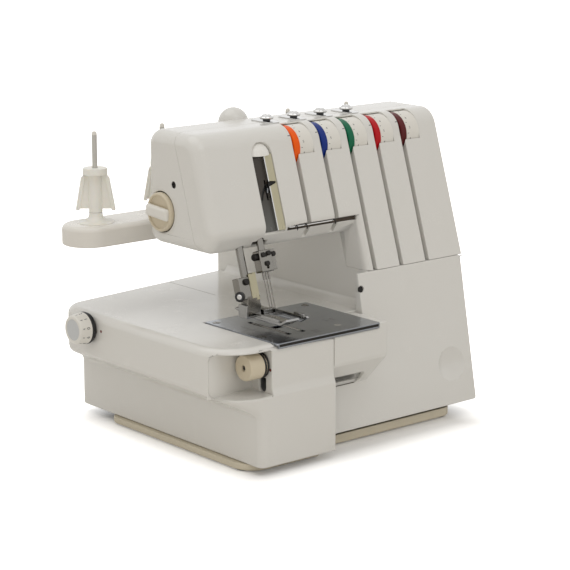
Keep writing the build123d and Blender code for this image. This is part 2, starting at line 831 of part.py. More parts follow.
def main_frame():
    inner = bed_wall + clear
    top = deck_z + deck_thick
    w = casing_wall + clear
    rear = casing_rear - bed_wall - clear
    deck = profile_z([
        (inner, inner, 4.0),
        (seam_x - 4, inner, 0),
        (seam_x - 4, deck_front, 0),
        (casing_right - w, deck_front, 0),
        (casing_right - w, rear, 0),
        (body_left + w, rear, 0),
        (body_left + w, rear - 8, 0),
        (body_left - 6, rear - 8, 0),
        (body_left - 6, rear, 0),
        (inner, rear, 4.0),
    ], deck_z, top)
    for x in hinge_places():
        lug = block(x - 8, x - 2, hinge_y, 72, hinge_z - 2.4, top)
        lug = lug + rod_x(x - 8, x - 2, hinge_y, hinge_z, hinge_lug)
        lug_right = block(x + 22, x + 28, hinge_y, 72, hinge_z - 2.4, top)
        lug_right = lug_right + rod_x(x + 22, x + 28, hinge_y, hinge_z, hinge_lug)
        deck = deck + lug + lug_right
    column = block(column_left, column_right, 105, beam_rear, top - 1, beam_low + 5)
    beam = block(64, beam_right, beam_y, beam_rear, beam_low, beam_high)
    frame = deck + column + beam
    for x in (76.0, rod_lug_right):
        frame = frame + block(x, x + 6, dial_axis_y - 7, beam_rear, dial_axis_z - 7, dial_axis_z + 7)
        frame = frame + block(x, x + 6, beam_y, beam_rear, beam_high - 10, dial_axis_z + 7)
    for z in (bar_guide_low, bar_guide_high):
        bar_y = needle_y + lean * (z + bar_guide_thick / 2 - bed_top)
        face = front_plane_y(z + bar_guide_thick) + guard_depth + guard_back + 0.6
        frame = frame + block(24, 60, face, bar_y + 12.5, z, z + bar_guide_thick)
        frame = frame + block(58, 76, face, bar_y + 5, z, z + bar_guide_thick)
        frame = frame + block(70, 76, face, beam_rear, z, z + bar_guide_thick)
    frame = frame + block(70, 76, beam_y, beam_rear, bar_guide_low, bar_guide_high + bar_guide_thick)
    frame = frame + block(70, 76, lifter_y - 5, lifter_y + 5, lifter_z - 5, bar_guide_low + 1)
    frame = frame + rod_x(presser_x - 3.5, 71, lifter_y, lifter_z, lifter_pin)
    for x in (90.0, column_left - 15):
        frame = frame + block(x, x + 8, rocker_y - 9, beam_y + 1, rocker_z - 9, rocker_z + 2)
        frame = frame + rod_x(x, x + 8, rocker_y, rocker_z, 9.0)
    frame = frame + block(60, 72, shaft_y - 12, shaft_y + 12, top - 1, shaft_z + 14)
    frame = frame + block(46, 136, bracket_y, bracket_y + 10, top - 1, knife_z + 10)
    frame = frame + block(46, 62, bracket_y - 4, bracket_y + 10, top - 1, feed_low - 0.3)
    frame = frame + rod_y(lower_looper_x, 48.0, bracket_y + 1, lower_looper_z, looper_pin)
    frame = frame + rod_y(upper_looper_x, 56.0, bracket_y + 1, upper_looper_z, looper_pin)
    frame = frame + rod_y(knife_x, 56.0, bracket_y + 1, knife_z, looper_pin)
    for x, y in plate_screw_places():
        if y > 60:
            frame = frame + rod_z(x, y, top - 1, bed_top + plate_proud - 9.2, 5.0)
    shaft_hole = rod_x(50, 300, shaft_y, shaft_z, bearing_radius + running)
    rod_hole = rod_x(60, 300, dial_axis_y, dial_axis_z, rod_radius + running)
    rocker_hole = rod_x(60, 300, rocker_y, rocker_z, rocker_radius + running)
    hinge_hole = rod_x(80, 300, hinge_y, hinge_z, hinge_rod_radius + running)
    frame = frame - shaft_hole - rod_hole - rocker_hole - hinge_hole
    frame = frame - lean_rod(needle_x, needle_y, arm_bottom + 3, arm_top - 2, needle_bar_radius + running)
    frame = frame - lean_rod(presser_x, presser_y, arm_bottom + 3, arm_top - 2, presser_bar_radius + running)
    return frame


def shaft_bushings():
    made = [
        ring_x(60, 72, shaft_y, shaft_z, bearing_radius, shaft_radius + running),
        ring_x(column_left, column_right, shaft_y, shaft_z, bearing_radius, shaft_radius + running),
    ]
    return Compound(children=made)


def main_shaft():
    return rod_x(48, casing_right + wheel_gap + wheel_width - 3, shaft_y, shaft_z, shaft_radius)


def drive_cams():
    made = []
    for k in range(3):
        x = 92 + 18 * k
        turn = math.radians(120 * k)
        disc = rod_x(x, x + 8, shaft_y + 5 * math.cos(turn), shaft_z + 5 * math.sin(turn), 15.0)
        hub = rod_x(x - 2, x + 10, shaft_y, shaft_z, 9.5)
        made.append(disc + hub - rod_x(x - 9, x + 19, shaft_y, shaft_z, shaft_radius))
    return Compound(children=made)


def drive_pulley():
    x0 = pulley_left
    wheel = rod_x(x0, x0 + pulley_width, shaft_y, shaft_z, pulley_radius)
    rims = rod_x(x0 - 1.5, x0, shaft_y, shaft_z, pulley_radius + 3)
    rims = rims + rod_x(x0 + pulley_width, x0 + pulley_width + 1.5, shaft_y, shaft_z, pulley_radius + 3)
    hub = rod_x(x0 - 1.5, x0 + pulley_width + 12, shaft_y, shaft_z, 12.0)
    return wheel + rims + hub - rod_x(x0 - 20, x0 + 60, shaft_y, shaft_z, shaft_radius)


def motor_pulley():
    x0 = pulley_left
    wheel = rod_x(x0 - 12, x0 + pulley_width, motor_y, motor_z, motor_pulley_radius)
    rims = rod_x(x0 - 1.5, x0, motor_y, motor_z, motor_pulley_radius + 3)
    rims = rims + rod_x(x0 + pulley_width, x0 + pulley_width + 1.5, motor_y, motor_z, motor_pulley_radius + 3)
    return wheel + rims - rod_x(x0 - 40, x0 + 60, motor_y, motor_z, 4.0 + running)


def motor():
    right = pulley_left - 13
    can = fillet(rod_x(right - 86, right, motor_y, motor_z, motor_radius).edges(), 3.0)
    saddle = block(right - 76, right - 10, motor_y - 20, motor_y + 20, deck_z + deck_thick, motor_z)
    shaft = rod_x(right - 1, pulley_left + pulley_width + 2, motor_y, motor_z, 4.0)
    return can + saddle + shaft


def belt_loop(gap):
    """The belt's outline round both pulleys, at a distance gap from their faces."""
    big = Pos(shaft_y, shaft_z) * Circle(pulley_radius + gap)
    small = Pos(motor_y, motor_z) * Circle(motor_pulley_radius + gap)
    return make_hull(big.edges() + small.edges())


def drive_belt():
    gap = 0.35
    x0 = pulley_left + 0.6
    loop = belt_loop(gap + belt_thick) - belt_loop(gap)
    return extrude(Plane.YZ.offset(x0) * loop, amount=pulley_width - 1.2, dir=(1, 0, 0))


def handwheel():
    x0 = casing_right + wheel_gap
    x1 = x0 + wheel_width
    wheel = fillet(rod_x(x0, x1, shaft_y, shaft_z, wheel_radius).edges(), 4.0)
    wheel = wheel - (rod_x(x1 - 7, x1 + 5, shaft_y, shaft_z, wheel_radius - 9))
    hub = fillet(rod_x(x1 - 9, x1 - 1, shaft_y, shaft_z, 13.0).edges().sort_by(Axis.X)[-1], 2.0)
    for k in range(24):
        turn = math.radians(15 * k)
        y = shaft_y + (wheel_radius + 1.2) * math.cos(turn)
        z = shaft_z + (wheel_radius + 1.2) * math.sin(turn)
        wheel = wheel - rod_x(x0 - 1, x1 + 1, y, z, 2.4)
    return wheel + hub - rod_x(x0 - 5, x1 - 3, shaft_y, shaft_z, shaft_radius)


# Needle drive
def needle_bar():
    bar = lean_rod(needle_x, needle_y, needle_bar_low, needle_bar_high, needle_bar_radius)
    collar = lean_rod(needle_x, needle_y, rocker_z - 5, rocker_z + 5, 5.4)
    return bar + collar


def needle_offsets():
    return [-needle_pitch, 0.0, needle_pitch]


def needle_clamp():
    place = lean_frame(needle_x, needle_y, clamp_z)
    head = place * Box(14, 11, 20)
    head = fillet(head.edges().filter_by(GeomType.LINE), 1.2)
    head = head - lean_rod(needle_x, needle_y, needle_bar_low, 200, needle_bar_radius)
    for shift in needle_offsets():
        head = head - lean_rod(needle_x + shift, needle_y, 150, 169.8, 1.05)
    for z in clamp_screw_heights:
        head = head - lean_frame(needle_x, needle_y, z) * Rot(90, 0, 0) * Pos(0, 0, 5) * Cylinder(1.6, 6)
    return head


def needles():
    made = []
    for shift in needle_offsets():
        blade = lean_rod(needle_x + shift, needle_y, needle_tip_z + 3, 162, needle_radius)
        point = lean_frame(needle_x + shift, needle_y, needle_tip_z + 3)
        tip = point * Rot(180, 0, 0) * Pos(0, 0, 1.5) * Cone(needle_radius, 0.12, 3.0)
        shank = lean_rod(needle_x + shift, needle_y, 160, 169.6, 1.0)
        made.append(blade + tip + shank)
    return Compound(children=made)


def clamp_screws():
    made = []
    for z in clamp_screw_heights:
        place = lean_frame(needle_x, needle_y, z) * Rot(90, 0, 0)
        head = place * Pos(0, 0, 7.3) * Cylinder(3.2, 3.6)
        stem = place * Pos(0, 0, 4.7) * Cylinder(1.55, 2.2)
        made.append(head + stem)
    return Compound(children=made)


def needle_rocker():
    shaft = rod_x(58, column_left - 5, rocker_y, rocker_z, rocker_radius)
    arm = block(59.8, 64.8, rocker_y - rocker_arm, rocker_y, rocker_z - 4, rocker_z + 4)
    eye = rod_x(59.8, 64.8, rocker_y - rocker_arm, rocker_z, 4.0)
    hub = rod_x(59.8, 72, rocker_y, rocker_z, rocker_hub)
    return shaft + arm + eye + hub


def take_up_lever():
    reach = rocker_y - front_plane_y(rocker_z) - 2.0
    right = lever_x + lever_thick
    blade = block(lever_x, right, rocker_y - reach, rocker_y - 8, rocker_z - 2.2, rocker_z + 2.2)
    ring = rod_x(lever_x, right, rocker_y, rocker_z, 12.0)
    eye = rod_x(60, 80, rocker_y - reach + 3, rocker_z, 0.9)
    return blade + ring - rod_x(60, 80, rocker_y, rocker_z, rocker_hub) - eye


# Presser foot
def raised(shape):
    """The lifted place of what rides on the presser bar, foot_raise up the leaning bar."""
    return Pos(0, foot_raise * lean * lean_cos, foot_raise * lean_cos) * shape


def presser_bar():
    bar = lean_rod(presser_x, presser_y, presser_bar_low, presser_bar_high, presser_bar_radius)
    collar = lean_rod(presser_x, presser_y, bar_guide_low + 14, bar_guide_low + 20, 6.5)
    return raised(bar + collar)


def presser_spring():
    low = bar_guide_high - 26.0
    high = bar_guide_high - 2.5
    outer = lean_rod(presser_x, presser_y, low, high, 6.2)
    return outer - lean_rod(presser_x, presser_y, low - 5, high + 5, 4.4)


def foot_ankle():
    shank = lean_frame(presser_x - 3, presser_y, 146) * Box(17, 10, 20)
    shank = fillet(shank.edges().filter_by(GeomType.LINE), 1.0)
    bridge = block(presser_x - 5, presser_x + 9, ankle_pin_y - 5, ankle_pin_y + 5, ankle_pin_z - 4, 140)
    ankle = shank + bridge - lean_rod(presser_x, presser_y, presser_bar_low, 170, presser_bar_radius)
    ankle = ankle - rod_x(0, 90, ankle_pin_y, ankle_pin_z, ankle_pin_radius + running)
    return raised(ankle)


def presser_foot():
    x0 = presser_x + 1
    x1 = needle_x + 7
    sole_low = bed_top + plate_proud + sole_gap
    ear_top = ankle_pin_z + 4
    sole = profile_x([
        (20, sole_low, 0),
        (65, sole_low, 0),
        (84, sole_low + 4, 0),
        (83, sole_low + 6, 0),
        (66, sole_low + 2.6, 0),
        (20, sole_low + 2.6, 0),
        (12, sole_low + 7, 0),
        (10, sole_low + 5.5, 0),
    ], x0, x1)
    sole = sole - block(needle_x - 4.2, needle_x + 4.2, 8, needle_y + 4, 0, 300)
    rail = block(x1 - 2.4, x1, 18, 62, sole_low + 2, sole_low + 6)
    ear_left = block(presser_x - 7.6, presser_x - 5.4, ankle_pin_y - 6, ankle_pin_y + 6, sole_low + 1, ear_top)
    tie = block(presser_x - 7.6, x0 + 1, ankle_pin_y - 6, ankle_pin_y + 6, sole_low + 1, sole_low + 3)
    ear_right = block(presser_x + 9.4, presser_x + 11.6, ankle_pin_y - 3, ankle_pin_y + 6, sole_low + 1, ear_top)
    pin = rod_x(presser_x - 7.6, presser_x + 11.6, ankle_pin_y, ankle_pin_z, ankle_pin_radius)
    return raised(sole + rail + ear_left + tie + ear_right + pin)


def presser_lifter():
    hub = rod_x(presser_x - 3, presser_x + 3, lifter_y, lifter_z, 6.0)
    arm = block(presser_x - 3, presser_x + 3, lifter_y, 182, lifter_z - 3, lifter_z + 3)
    grip = fillet(block(presser_x - 3, presser_x + 3, 168, 184, lifter_z - 4, lifter_z + 4).edges(), 2.0)
    lever = hub + arm + grip - rod_x(0, 90, lifter_y, lifter_z, lifter_pin + running)
    return Pos(0, lifter_y, lifter_z) * Rot(lifter_swing, 0, 0) * Pos(0, -lifter_y, -lifter_z) * lever


# Loopers, knives and feed
def lower_looper():
    x = lower_looper_x
    z = lower_looper_z
    hub = rod_y(x, 49, 62, z, 7.5)
    arm = block(x - 4, x + 4, 54, 59, z, 92)
    blade = profile_y([
        (x + 4, 88, 0),
        (x + 4, 94, 2),
        (x - 22, 94, 0),
        (x - 28, 92, 0),
        (x - 20, 88, 0),
    ], 54.5, 58)
    return hub + arm + blade - rod_y(x, 30, 90, z, looper_pin + running)


def upper_looper():
    x = upper_looper_x
    z = upper_looper_z
    hub = rod_y(x, 60, 73, z, 7.5)
    arm = profile_y([(x - 2, z - 5, 0), (x + 3, z + 5, 0), (x - 36, 97, 0), (x - 42, 92, 0)], 62.5, 67)
    blade = profile_y([(x - 34, 93, 0), (x - 36, 97, 0), (x - 46, 101, 0), (x - 42, 92, 0)], 63, 66)
    return hub + arm + blade - rod_y(x, 30, 90, z, looper_pin + running)


def upper_knife():
    hub = rod_y(knife_x, 60, 73, knife_z, 6.5)
    arm = profile_y([
        (knife_x - 3, knife_z - 4, 0),
        (knife_x + 4, knife_z + 4, 0),
        (knife_x - 10, 107, 0),
        (knife_x - 17, 105, 0),
    ], 61, 66)
    return hub + arm - rod_y(knife_x, 30, 90, knife_z, looper_pin + running)


def lower_knife():
    under = bed_top + plate_proud - plate_thick
    holder = block(72, 80, 28, 46, 100, under)
    blade = block(70, 72, 30, 44, 96, under)
    return holder + blade


def feed_dog():
    carrier = block(needle_x - 10.5, needle_x + 10.5, 20, 82, feed_low, feed_low + 4)
    carrier = carrier - block(needle_x - 5, needle_x + 5, 30, needle_y + 8, 0, 300)
    dog = carrier
    for side in (-1, 1):
        x = needle_x + side * feed_bar_shift
        bar = block(x - 1.7, x + 1.7, 26, 74, feed_low + 3, bed_top + plate_proud + 0.1)
        for k in range(15):
            y = 28 + 3 * k
            groove = Pos(x, y, bed_top + plate_proud + 0.1) * Rot(45, 0, 0) * Box(6, 1.1, 1.1)
            bar = bar - groove
        dog = dog + bar
    return dog


# Spool stand
def spool_stand():
    half = stand_depth / 2
    plan = [
        (stand_left, stand_y - half, half - 0.1),
        (stand_right, stand_y - half, half - 0.1),
        (stand_right, stand_y + half, half - 0.1),
        (stand_left, stand_y + half, half - 0.1),
    ]
    bar = profile_z(plan, stand_bottom, stand_top)
    bar = fillet(bar.faces().sort_by(Axis.Z)[-1].edges(), 5.0)
    bar = fillet(bar.faces().sort_by(Axis.Z)[0].edges(), 1.6)
    w = casing_wall
    plan_inner = [
        (stand_left + w, stand_y - half + w, half - w - 0.1),
        (stand_right - w, stand_y - half + w, half - w - 0.1),
        (stand_right - w, stand_y + half - w, half - w - 0.1),
        (stand_left + w, stand_y + half - w, half - w - 0.1),
    ]
    bar = bar - profile_z(plan_inner, stand_bottom - 5, stand_top - 5.2)
    for index in range(pin_count):
        bar = bar + rod_z(pin_x(index), stand_y, stand_bottom + 5, stand_top - 1, 6.0)
        bar = bar - rod_z(pin_x(index), stand_y, stand_top - 14, stand_top + 5, pin_radius + 0.02)
    for x in (60.0, 140.0):
        lug = block(x - 8, x + 8, arm_rear, stand_y - half + 6, stand_bottom + 8, stand_bottom + 20)
        bar = bar + lug
    return bar


def spool_pins():
    made = []
    for index in range(pin_count):
        x = pin_x(index)
        stem = rod_z(x, stand_y, stand_top - 14, cone_top + 0.5, pin_radius)
        stem = stem + rod_z(x, stand_y, cone_top + 0.5, pin_top - 2, pin_free_radius)
        tip = Pos(x, stand_y, pin_top - 1) * Cone(pin_free_radius, 1.4, 2)
        foot = Pos(x, stand_y, stand_top + 2.2) * Cone(17.0, 6.0, 4.4)
        foot = foot + rod_z(x, stand_y, stand_top + 4.4, cone_bottom - 1.1, 6.0)
        made.append(stem + tip + foot)
    return Compound(children=made)


def cone_holders():
    made = []
    height = cone_top - cone_bottom
    for index in range(pin_count):
        x = pin_x(index)
        place = Pos(x, stand_y, cone_bottom)
        skirt = place * Pos(0, 0, height / 2) * Cone(cone_low_radius, cone_high_radius, height)
        inner = Cone(cone_low_radius - cone_wall, cone_high_radius - cone_wall, height)
        hollow = place * Pos(0, 0, height / 2 - 3) * inner
        holder = skirt - hollow
        tube = rod_z(x, stand_y, cone_bottom - 1.0, cone_top, 6.0)
        holder = holder + tube
        for k in range(4):
            window = Rot(0, 0, 45 + 90 * k) * block(8, 40, -6.5, 6.5, -1, 22)
            window = window + Rot(0, 0, 45 + 90 * k) * rod_x(8, 40, 0, 22, 6.5)
            holder = holder - place * window
        holder = holder - rod_z(x, stand_y, cone_bottom - 20, cone_top + 20, pin_radius + running)
        made.append(holder)
    return Compound(children=made)


# Knobs
def stitch_length_dial():
    x0 = bed_left - 1.0
    x1 = x0 - length_dial_length
    cone = Cone(length_dial_radius, length_dial_tip, x0 - 4 - x1)
    cap = Pos((x0 - 4 + x1) / 2, length_dial_y, length_dial_z) * Rot(0, -90, 0) * cone
    cap = fillet(cap.edges().filter_by(GeomType.CIRCLE).sort_by(Axis.X)[0], 1.6)
    neck = rod_x(x0 - 4, x0, length_dial_y, length_dial_z, length_dial_radius - 1.2)
    stem = rod_x(x0, bed_left + 11, length_dial_y, length_dial_z, dial_stem)
    return cap + neck + stem


def width_dial():
    x0 = pocket_wall_x - 0.6
    x1 = x0 - width_dial_length
    cap = rod_x(x1, x0 - 5, width_dial_y, width_dial_z, width_dial_radius)
    cap = fillet(cap.edges().filter_by(GeomType.CIRCLE).sort_by(Axis.X)[0], 1.2)
    neck = rod_x(x0 - 5, x0, width_dial_y, width_dial_z, width_dial_radius - 1.0)
    stem = rod_x(x0, pocket_wall_x + 7.5, width_dial_y, width_dial_z, dial_stem)
    return cap + neck + stem - rod_x(x1 - 1, x1 + 2, width_dial_y, width_dial_z, 2.6)


def pressure_knob():
    x0 = arm_left + 1.0
    disc = rod_x(x0 - pressure_length + 4, x0, pressure_y, pressure_z, pressure_radius)
    disc = fillet(disc.edges().filter_by(GeomType.CIRCLE).sort_by(Axis.X)[0], 1.5)
    reach = pressure_radius - 1.5
    bar = block(x0 - pressure_length, x0 - 3, pressure_y - reach, pressure_y + reach,
                pressure_z - 4.5, pressure_z + 4.5)
    bar = fillet(bar.edges().filter_by(Axis.X), 3.0)
    stem = rod_x(x0, arm_left + 14, pressure_y, pressure_z, pressure_stem)
    return disc + bar + stem


def casing_screws():
    made = []
    for x, y, z in casing_screw_places():
        screw = rod_x(x + 0.6, x + 7, y, z, 3.2)
        screw = screw - block(x - 1, x + 1.6, y - 0.5, y + 0.5, z - 2.2, z + 2.2)
        made.append(screw - block(x - 1, x + 1.6, y - 2.2, y + 2.2, z - 0.5, z + 0.5))
    return Compound(children=made)


# Right side electrics and lamp
def power_socket():
    """Inlet socket and switch frame in one moulding, with the rocker's pivot."""
    wall = casing_right
    low = socket_z - module_half
    high = socket_z + module_half
    body = block(wall - 9, wall + 1.0, socket_y - 12.8, switch_y + 9.8, low, high)
    body = body - block(wall - 6, wall + 5, socket_y - 9, socket_y + 9, socket_z - 6, socket_z + 6)
    body = body - block(wall - 20, wall + 5, switch_y - 7.4, switch_y + 7.4, socket_z - 10.6, socket_z + 10.6)
    for shift in (-4.5, 4.5):
        body = body + rod_x(wall - 7, wall - 0.5, socket_y + shift, socket_z, 1.3)
    return body + rod_y(wall - switch_depth, switch_y - 8, switch_y + 8, socket_z, switch_pivot)


def power_switch():
    wall = casing_right
    rocker = rod_y(wall - 12.0, switch_y - 7, switch_y + 7, socket_z, 14.5)
    rocker = rocker & block(wall - 8, wall + 5, switch_y - 7, switch_y + 7, socket_z - 9.6, socket_z + 9.6)
    return rocker - rod_y(wall - switch_depth, switch_y - 20, switch_y + 20, socket_z, switch_pivot + running)


def lamp_lens():
    lens = block(lamp_x - 11.7, lamp_x + 11.7, lamp_y - 6.7, lamp_y + 6.7, arm_bottom - 0.6, arm_bottom + 4)
    return fillet(lens.edges().filter_by(Axis.Z), 2.0)


NODES = {
    "base_pan": base_pan,
    "rubber_feet": rubber_feet,
    "main_frame": main_frame,
    "bed_cover": bed_cover,
    "needle_plate": needle_plate,
    "plate_screws": plate_screws,
    "front_casing": front_casing,
    "rear_casing": rear_casing,
    "casing_screws": casing_screws,
    "thread_guides": thread_guides,
    "side_casing": side_casing,
    "take_up_guard": take_up_guard,
    "tension_rod": tension_rod,
    "tension_discs": tension_discs,
    "tension_springs": tension_springs,
    "looper_cover": looper_cover,
    "cover_hinge_rod": cover_hinge_rod,
    "main_shaft": main_shaft,
    "shaft_bushings": shaft_bushings,
    "drive_cams": drive_cams,
    "drive_pulley": drive_pulley,
    "handwheel": handwheel,
    "motor": motor,
    "motor_pulley": motor_pulley,
    "drive_belt": drive_belt,
    "needle_bar": needle_bar,
    "needle_clamp": needle_clamp,
    "needles": needles,
    "clamp_screws": clamp_screws,
    "needle_rocker": needle_rocker,
    "take_up_lever": take_up_lever,
    "presser_bar": presser_bar,
    "presser_spring": presser_spring,
    "foot_ankle": foot_ankle,
    "presser_foot": presser_foot,
    "presser_lifter": presser_lifter,
    "lower_looper": lower_looper,
    "upper_looper": upper_looper,
    "upper_knife": upper_knife,
    "lower_knife": lower_knife,
    "feed_dog": feed_dog,
    "spool_stand": spool_stand,
    "spool_pins": spool_pins,
    "cone_holders": cone_holders,
    "stitch_length_dial": stitch_length_dial,
    "width_dial": width_dial,
    "pressure_knob": pressure_knob,
    "power_socket": power_socket,
    "power_switch": power_switch,
    "lamp_lens": lamp_lens,
}


def all_nodes():
    made = {}
    for name, make in NODES.items():
        made[name] = make()
    for index in range(dial_count):
        made[f"tension_dial_{index + 1}"] = tension_dial(index)
        made[f"colour_ring_{index + 1}"] = colour_ring(index)
    return made


def main():
    os.makedirs("parts", exist_ok=True)
    for name, shape in all_nodes().items():
        placed = Pos(-origin_x, -origin_y, 0) * shape
        export_step(placed, f"parts/{name}.step")


if __name__ == "__main__":
    main()
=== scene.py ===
import json
import math

import bmesh
import bpy
from mathutils import Matrix, Vector
from mathutils.bvhtree import BVHTree


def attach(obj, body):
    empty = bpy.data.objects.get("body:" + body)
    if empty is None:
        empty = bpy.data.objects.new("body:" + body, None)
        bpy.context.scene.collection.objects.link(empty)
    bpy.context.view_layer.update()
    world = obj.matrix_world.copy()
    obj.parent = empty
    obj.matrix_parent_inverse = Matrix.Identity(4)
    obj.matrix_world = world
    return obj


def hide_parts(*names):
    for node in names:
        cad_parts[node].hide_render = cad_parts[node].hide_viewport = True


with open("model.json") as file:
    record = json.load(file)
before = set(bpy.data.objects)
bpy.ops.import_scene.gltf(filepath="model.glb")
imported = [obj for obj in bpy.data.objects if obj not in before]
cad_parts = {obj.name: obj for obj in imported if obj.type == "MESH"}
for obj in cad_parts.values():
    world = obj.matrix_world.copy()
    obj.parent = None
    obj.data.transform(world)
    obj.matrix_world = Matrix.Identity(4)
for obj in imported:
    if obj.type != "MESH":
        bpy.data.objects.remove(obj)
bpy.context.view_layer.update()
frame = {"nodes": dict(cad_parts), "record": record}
nodes = frame["nodes"]
print("frame loaded:", len(nodes), "nodes")

# Places below are millimetres from the bed's lower front left corner, as in the part's source
bedCorner = Vector((126.5, 138.5, 0.0))
frontLean = 0.32                                        # the front's run back for each mm of height
leanAngle = math.atan(frontLean)
coverLean = {"slope": 0.188, "footY": 22.6, "footZ": 14.4}
bedTop = 118.0
plateTop = 118.5
zUp = (0, 0, 1)
origin0 = Vector((0, 0, 0))
tension = {"y": 105.64, "z": 269.9, "radius": 20.2, "first": 107.3, "pitch": 33.5, "shift": 5.0}


def at(x, y, z):
    return (Vector((x, y, z)) - bedCorner) / 1000.0


def mm(value):
    return value / 1000.0


def frontY(z):
    return frontLean * z


def coverY(z):
    return coverLean["footY"] + coverLean["slope"] * (z - coverLean["footZ"])


# Finishes

def tone(code):
    def lin(v):
        return v / 12.92 if v <= 0.04045 else ((v + 0.055) / 1.055) ** 2.4
    return tuple(lin(int(code[i:i + 2], 16) / 255.0) for i in (0, 2, 4)) + (1.0,)


def mixTone(a, b, t):
    return tuple(a[i] + (b[i] - a[i]) * t for i in range(3)) + (1.0,)


def link(tree, a, b):
    tree.links.new(a, b)


grainDepth = 0.0004
glossSpan = (0.12, 0.4)                                 # where the product of the two noises mostly lies


def newFinish(name, spec):
    mat = bpy.data.materials.new(name)
    mat.use_nodes = True
    tree = mat.node_tree
    shader = tree.nodes["Principled BSDF"]
    shader.inputs["Metallic"].default_value = spec.get("metal", 0.0)
    shader.inputs["IOR"].default_value = spec.get("ior", 1.48)
    shader.inputs["Coat Weight"].default_value = spec.get("coat", 0.0)
    shader.inputs["Coat Roughness"].default_value = spec.get("coatRough", 0.1)
    shader.inputs["Subsurface Weight"].default_value = spec.get("inner", 0.0)
    shader.inputs["Subsurface Radius"].default_value = (0.004, 0.003, 0.002)
    coords = tree.nodes.new("ShaderNodeTexCoord")
    place = tree.nodes.new("ShaderNodeMapping")
    place.inputs["Scale"].default_value = spec.get("stretch", (1.0, 1.0, 1.0))
    link(tree, coords.outputs["Object"], place.inputs["Vector"])
    cloud = tree.nodes.new("ShaderNodeTexNoise")        # slow drift of the colour
    cloud.inputs["Scale"].default_value = spec.get("cloudScale", 14.0)
    cloud.inputs["Detail"].default_value = 4.0
    link(tree, coords.outputs["Object"], cloud.inputs["Vector"])
    ramp = tree.nodes.new("ShaderNodeValToRGB")
    base = tone(spec["colour"])
    ramp.color_ramp.elements[0].position = 0.3
    ramp.color_ramp.elements[1].position = 0.7
    ramp.color_ramp.elements[0].color = mixTone(base, tone(spec.get("shade", "b8aa94")), spec.get("drift", 0.06))
    ramp.color_ramp.elements[1].color = base
    link(tree, cloud.outputs["Fac"], ramp.inputs["Fac"])
    colourOut = ramp.outputs["Color"]
    fade = spec.get("fade")
    if fade:                                            # another colour towards the foot of the piece
        apart = tree.nodes.new("ShaderNodeSeparateXYZ")
        link(tree, coords.outputs["Object"], apart.inputs["Vector"])
        span = tree.nodes.new("ShaderNodeMapRange")
        span.inputs["From Min"].default_value = fade["low"]
        span.inputs["From Max"].default_value = fade["high"]
        link(tree, apart.outputs["Z"], span.inputs["Value"])
        blendTone = tree.nodes.new("ShaderNodeMix")
        blendTone.data_type = "RGBA"
        blendTone.inputs[6].default_value = tone(fade["colour"])
        link(tree, span.outputs["Result"], blendTone.inputs[0])
        link(tree, ramp.outputs["Color"], blendTone.inputs[7])
        colourOut = blendTone.outputs[2]
    link(tree, colourOut, shader.inputs["Base Color"])
    grain = tree.nodes.new("ShaderNodeTexNoise")        # moulded or ground grain
    grain.inputs["Scale"].default_value = spec.get("grainScale", 900.0)
    grain.inputs["Detail"].default_value = 3.0
    link(tree, place.outputs["Vector"], grain.inputs["Vector"])
    smear = tree.nodes.new("ShaderNodeTexNoise")        # handling marks in the gloss
    smear.inputs["Scale"].default_value = spec.get("smearScale", 30.0)
    smear.inputs["Detail"].default_value = 6.0
    link(tree, coords.outputs["Object"], smear.inputs["Vector"])
    both = tree.nodes.new("ShaderNodeMath")
    both.operation = "MULTIPLY"
    link(tree, grain.outputs["Fac"], both.inputs[0])
    link(tree, smear.outputs["Fac"], both.inputs[1])
    rough = tree.nodes.new("ShaderNodeMapRange")
    low, high = spec.get("rough", (0.3, 0.45))
    rough.inputs["From Min"].default_value = glossSpan[0]
    rough.inputs["From Max"].default_value = glossSpan[1]
    rough.inputs["To Min"].default_value = low
    rough.inputs["To Max"].default_value = high
    link(tree, both.outputs["Value"], rough.inputs["Value"])
    link(tree, rough.outputs["Result"], shader.inputs["Roughness"])
    bump = tree.nodes.new("ShaderNodeBump")
    bump.inputs["Strength"].default_value = spec.get("bump", 0.05)
    bump.inputs["Distance"].default_value = grainDepth
    link(tree, grain.outputs["Fac"], bump.inputs["Height"])
    link(tree, bump.outputs["Normal"], shader.inputs["Normal"])
    return mat


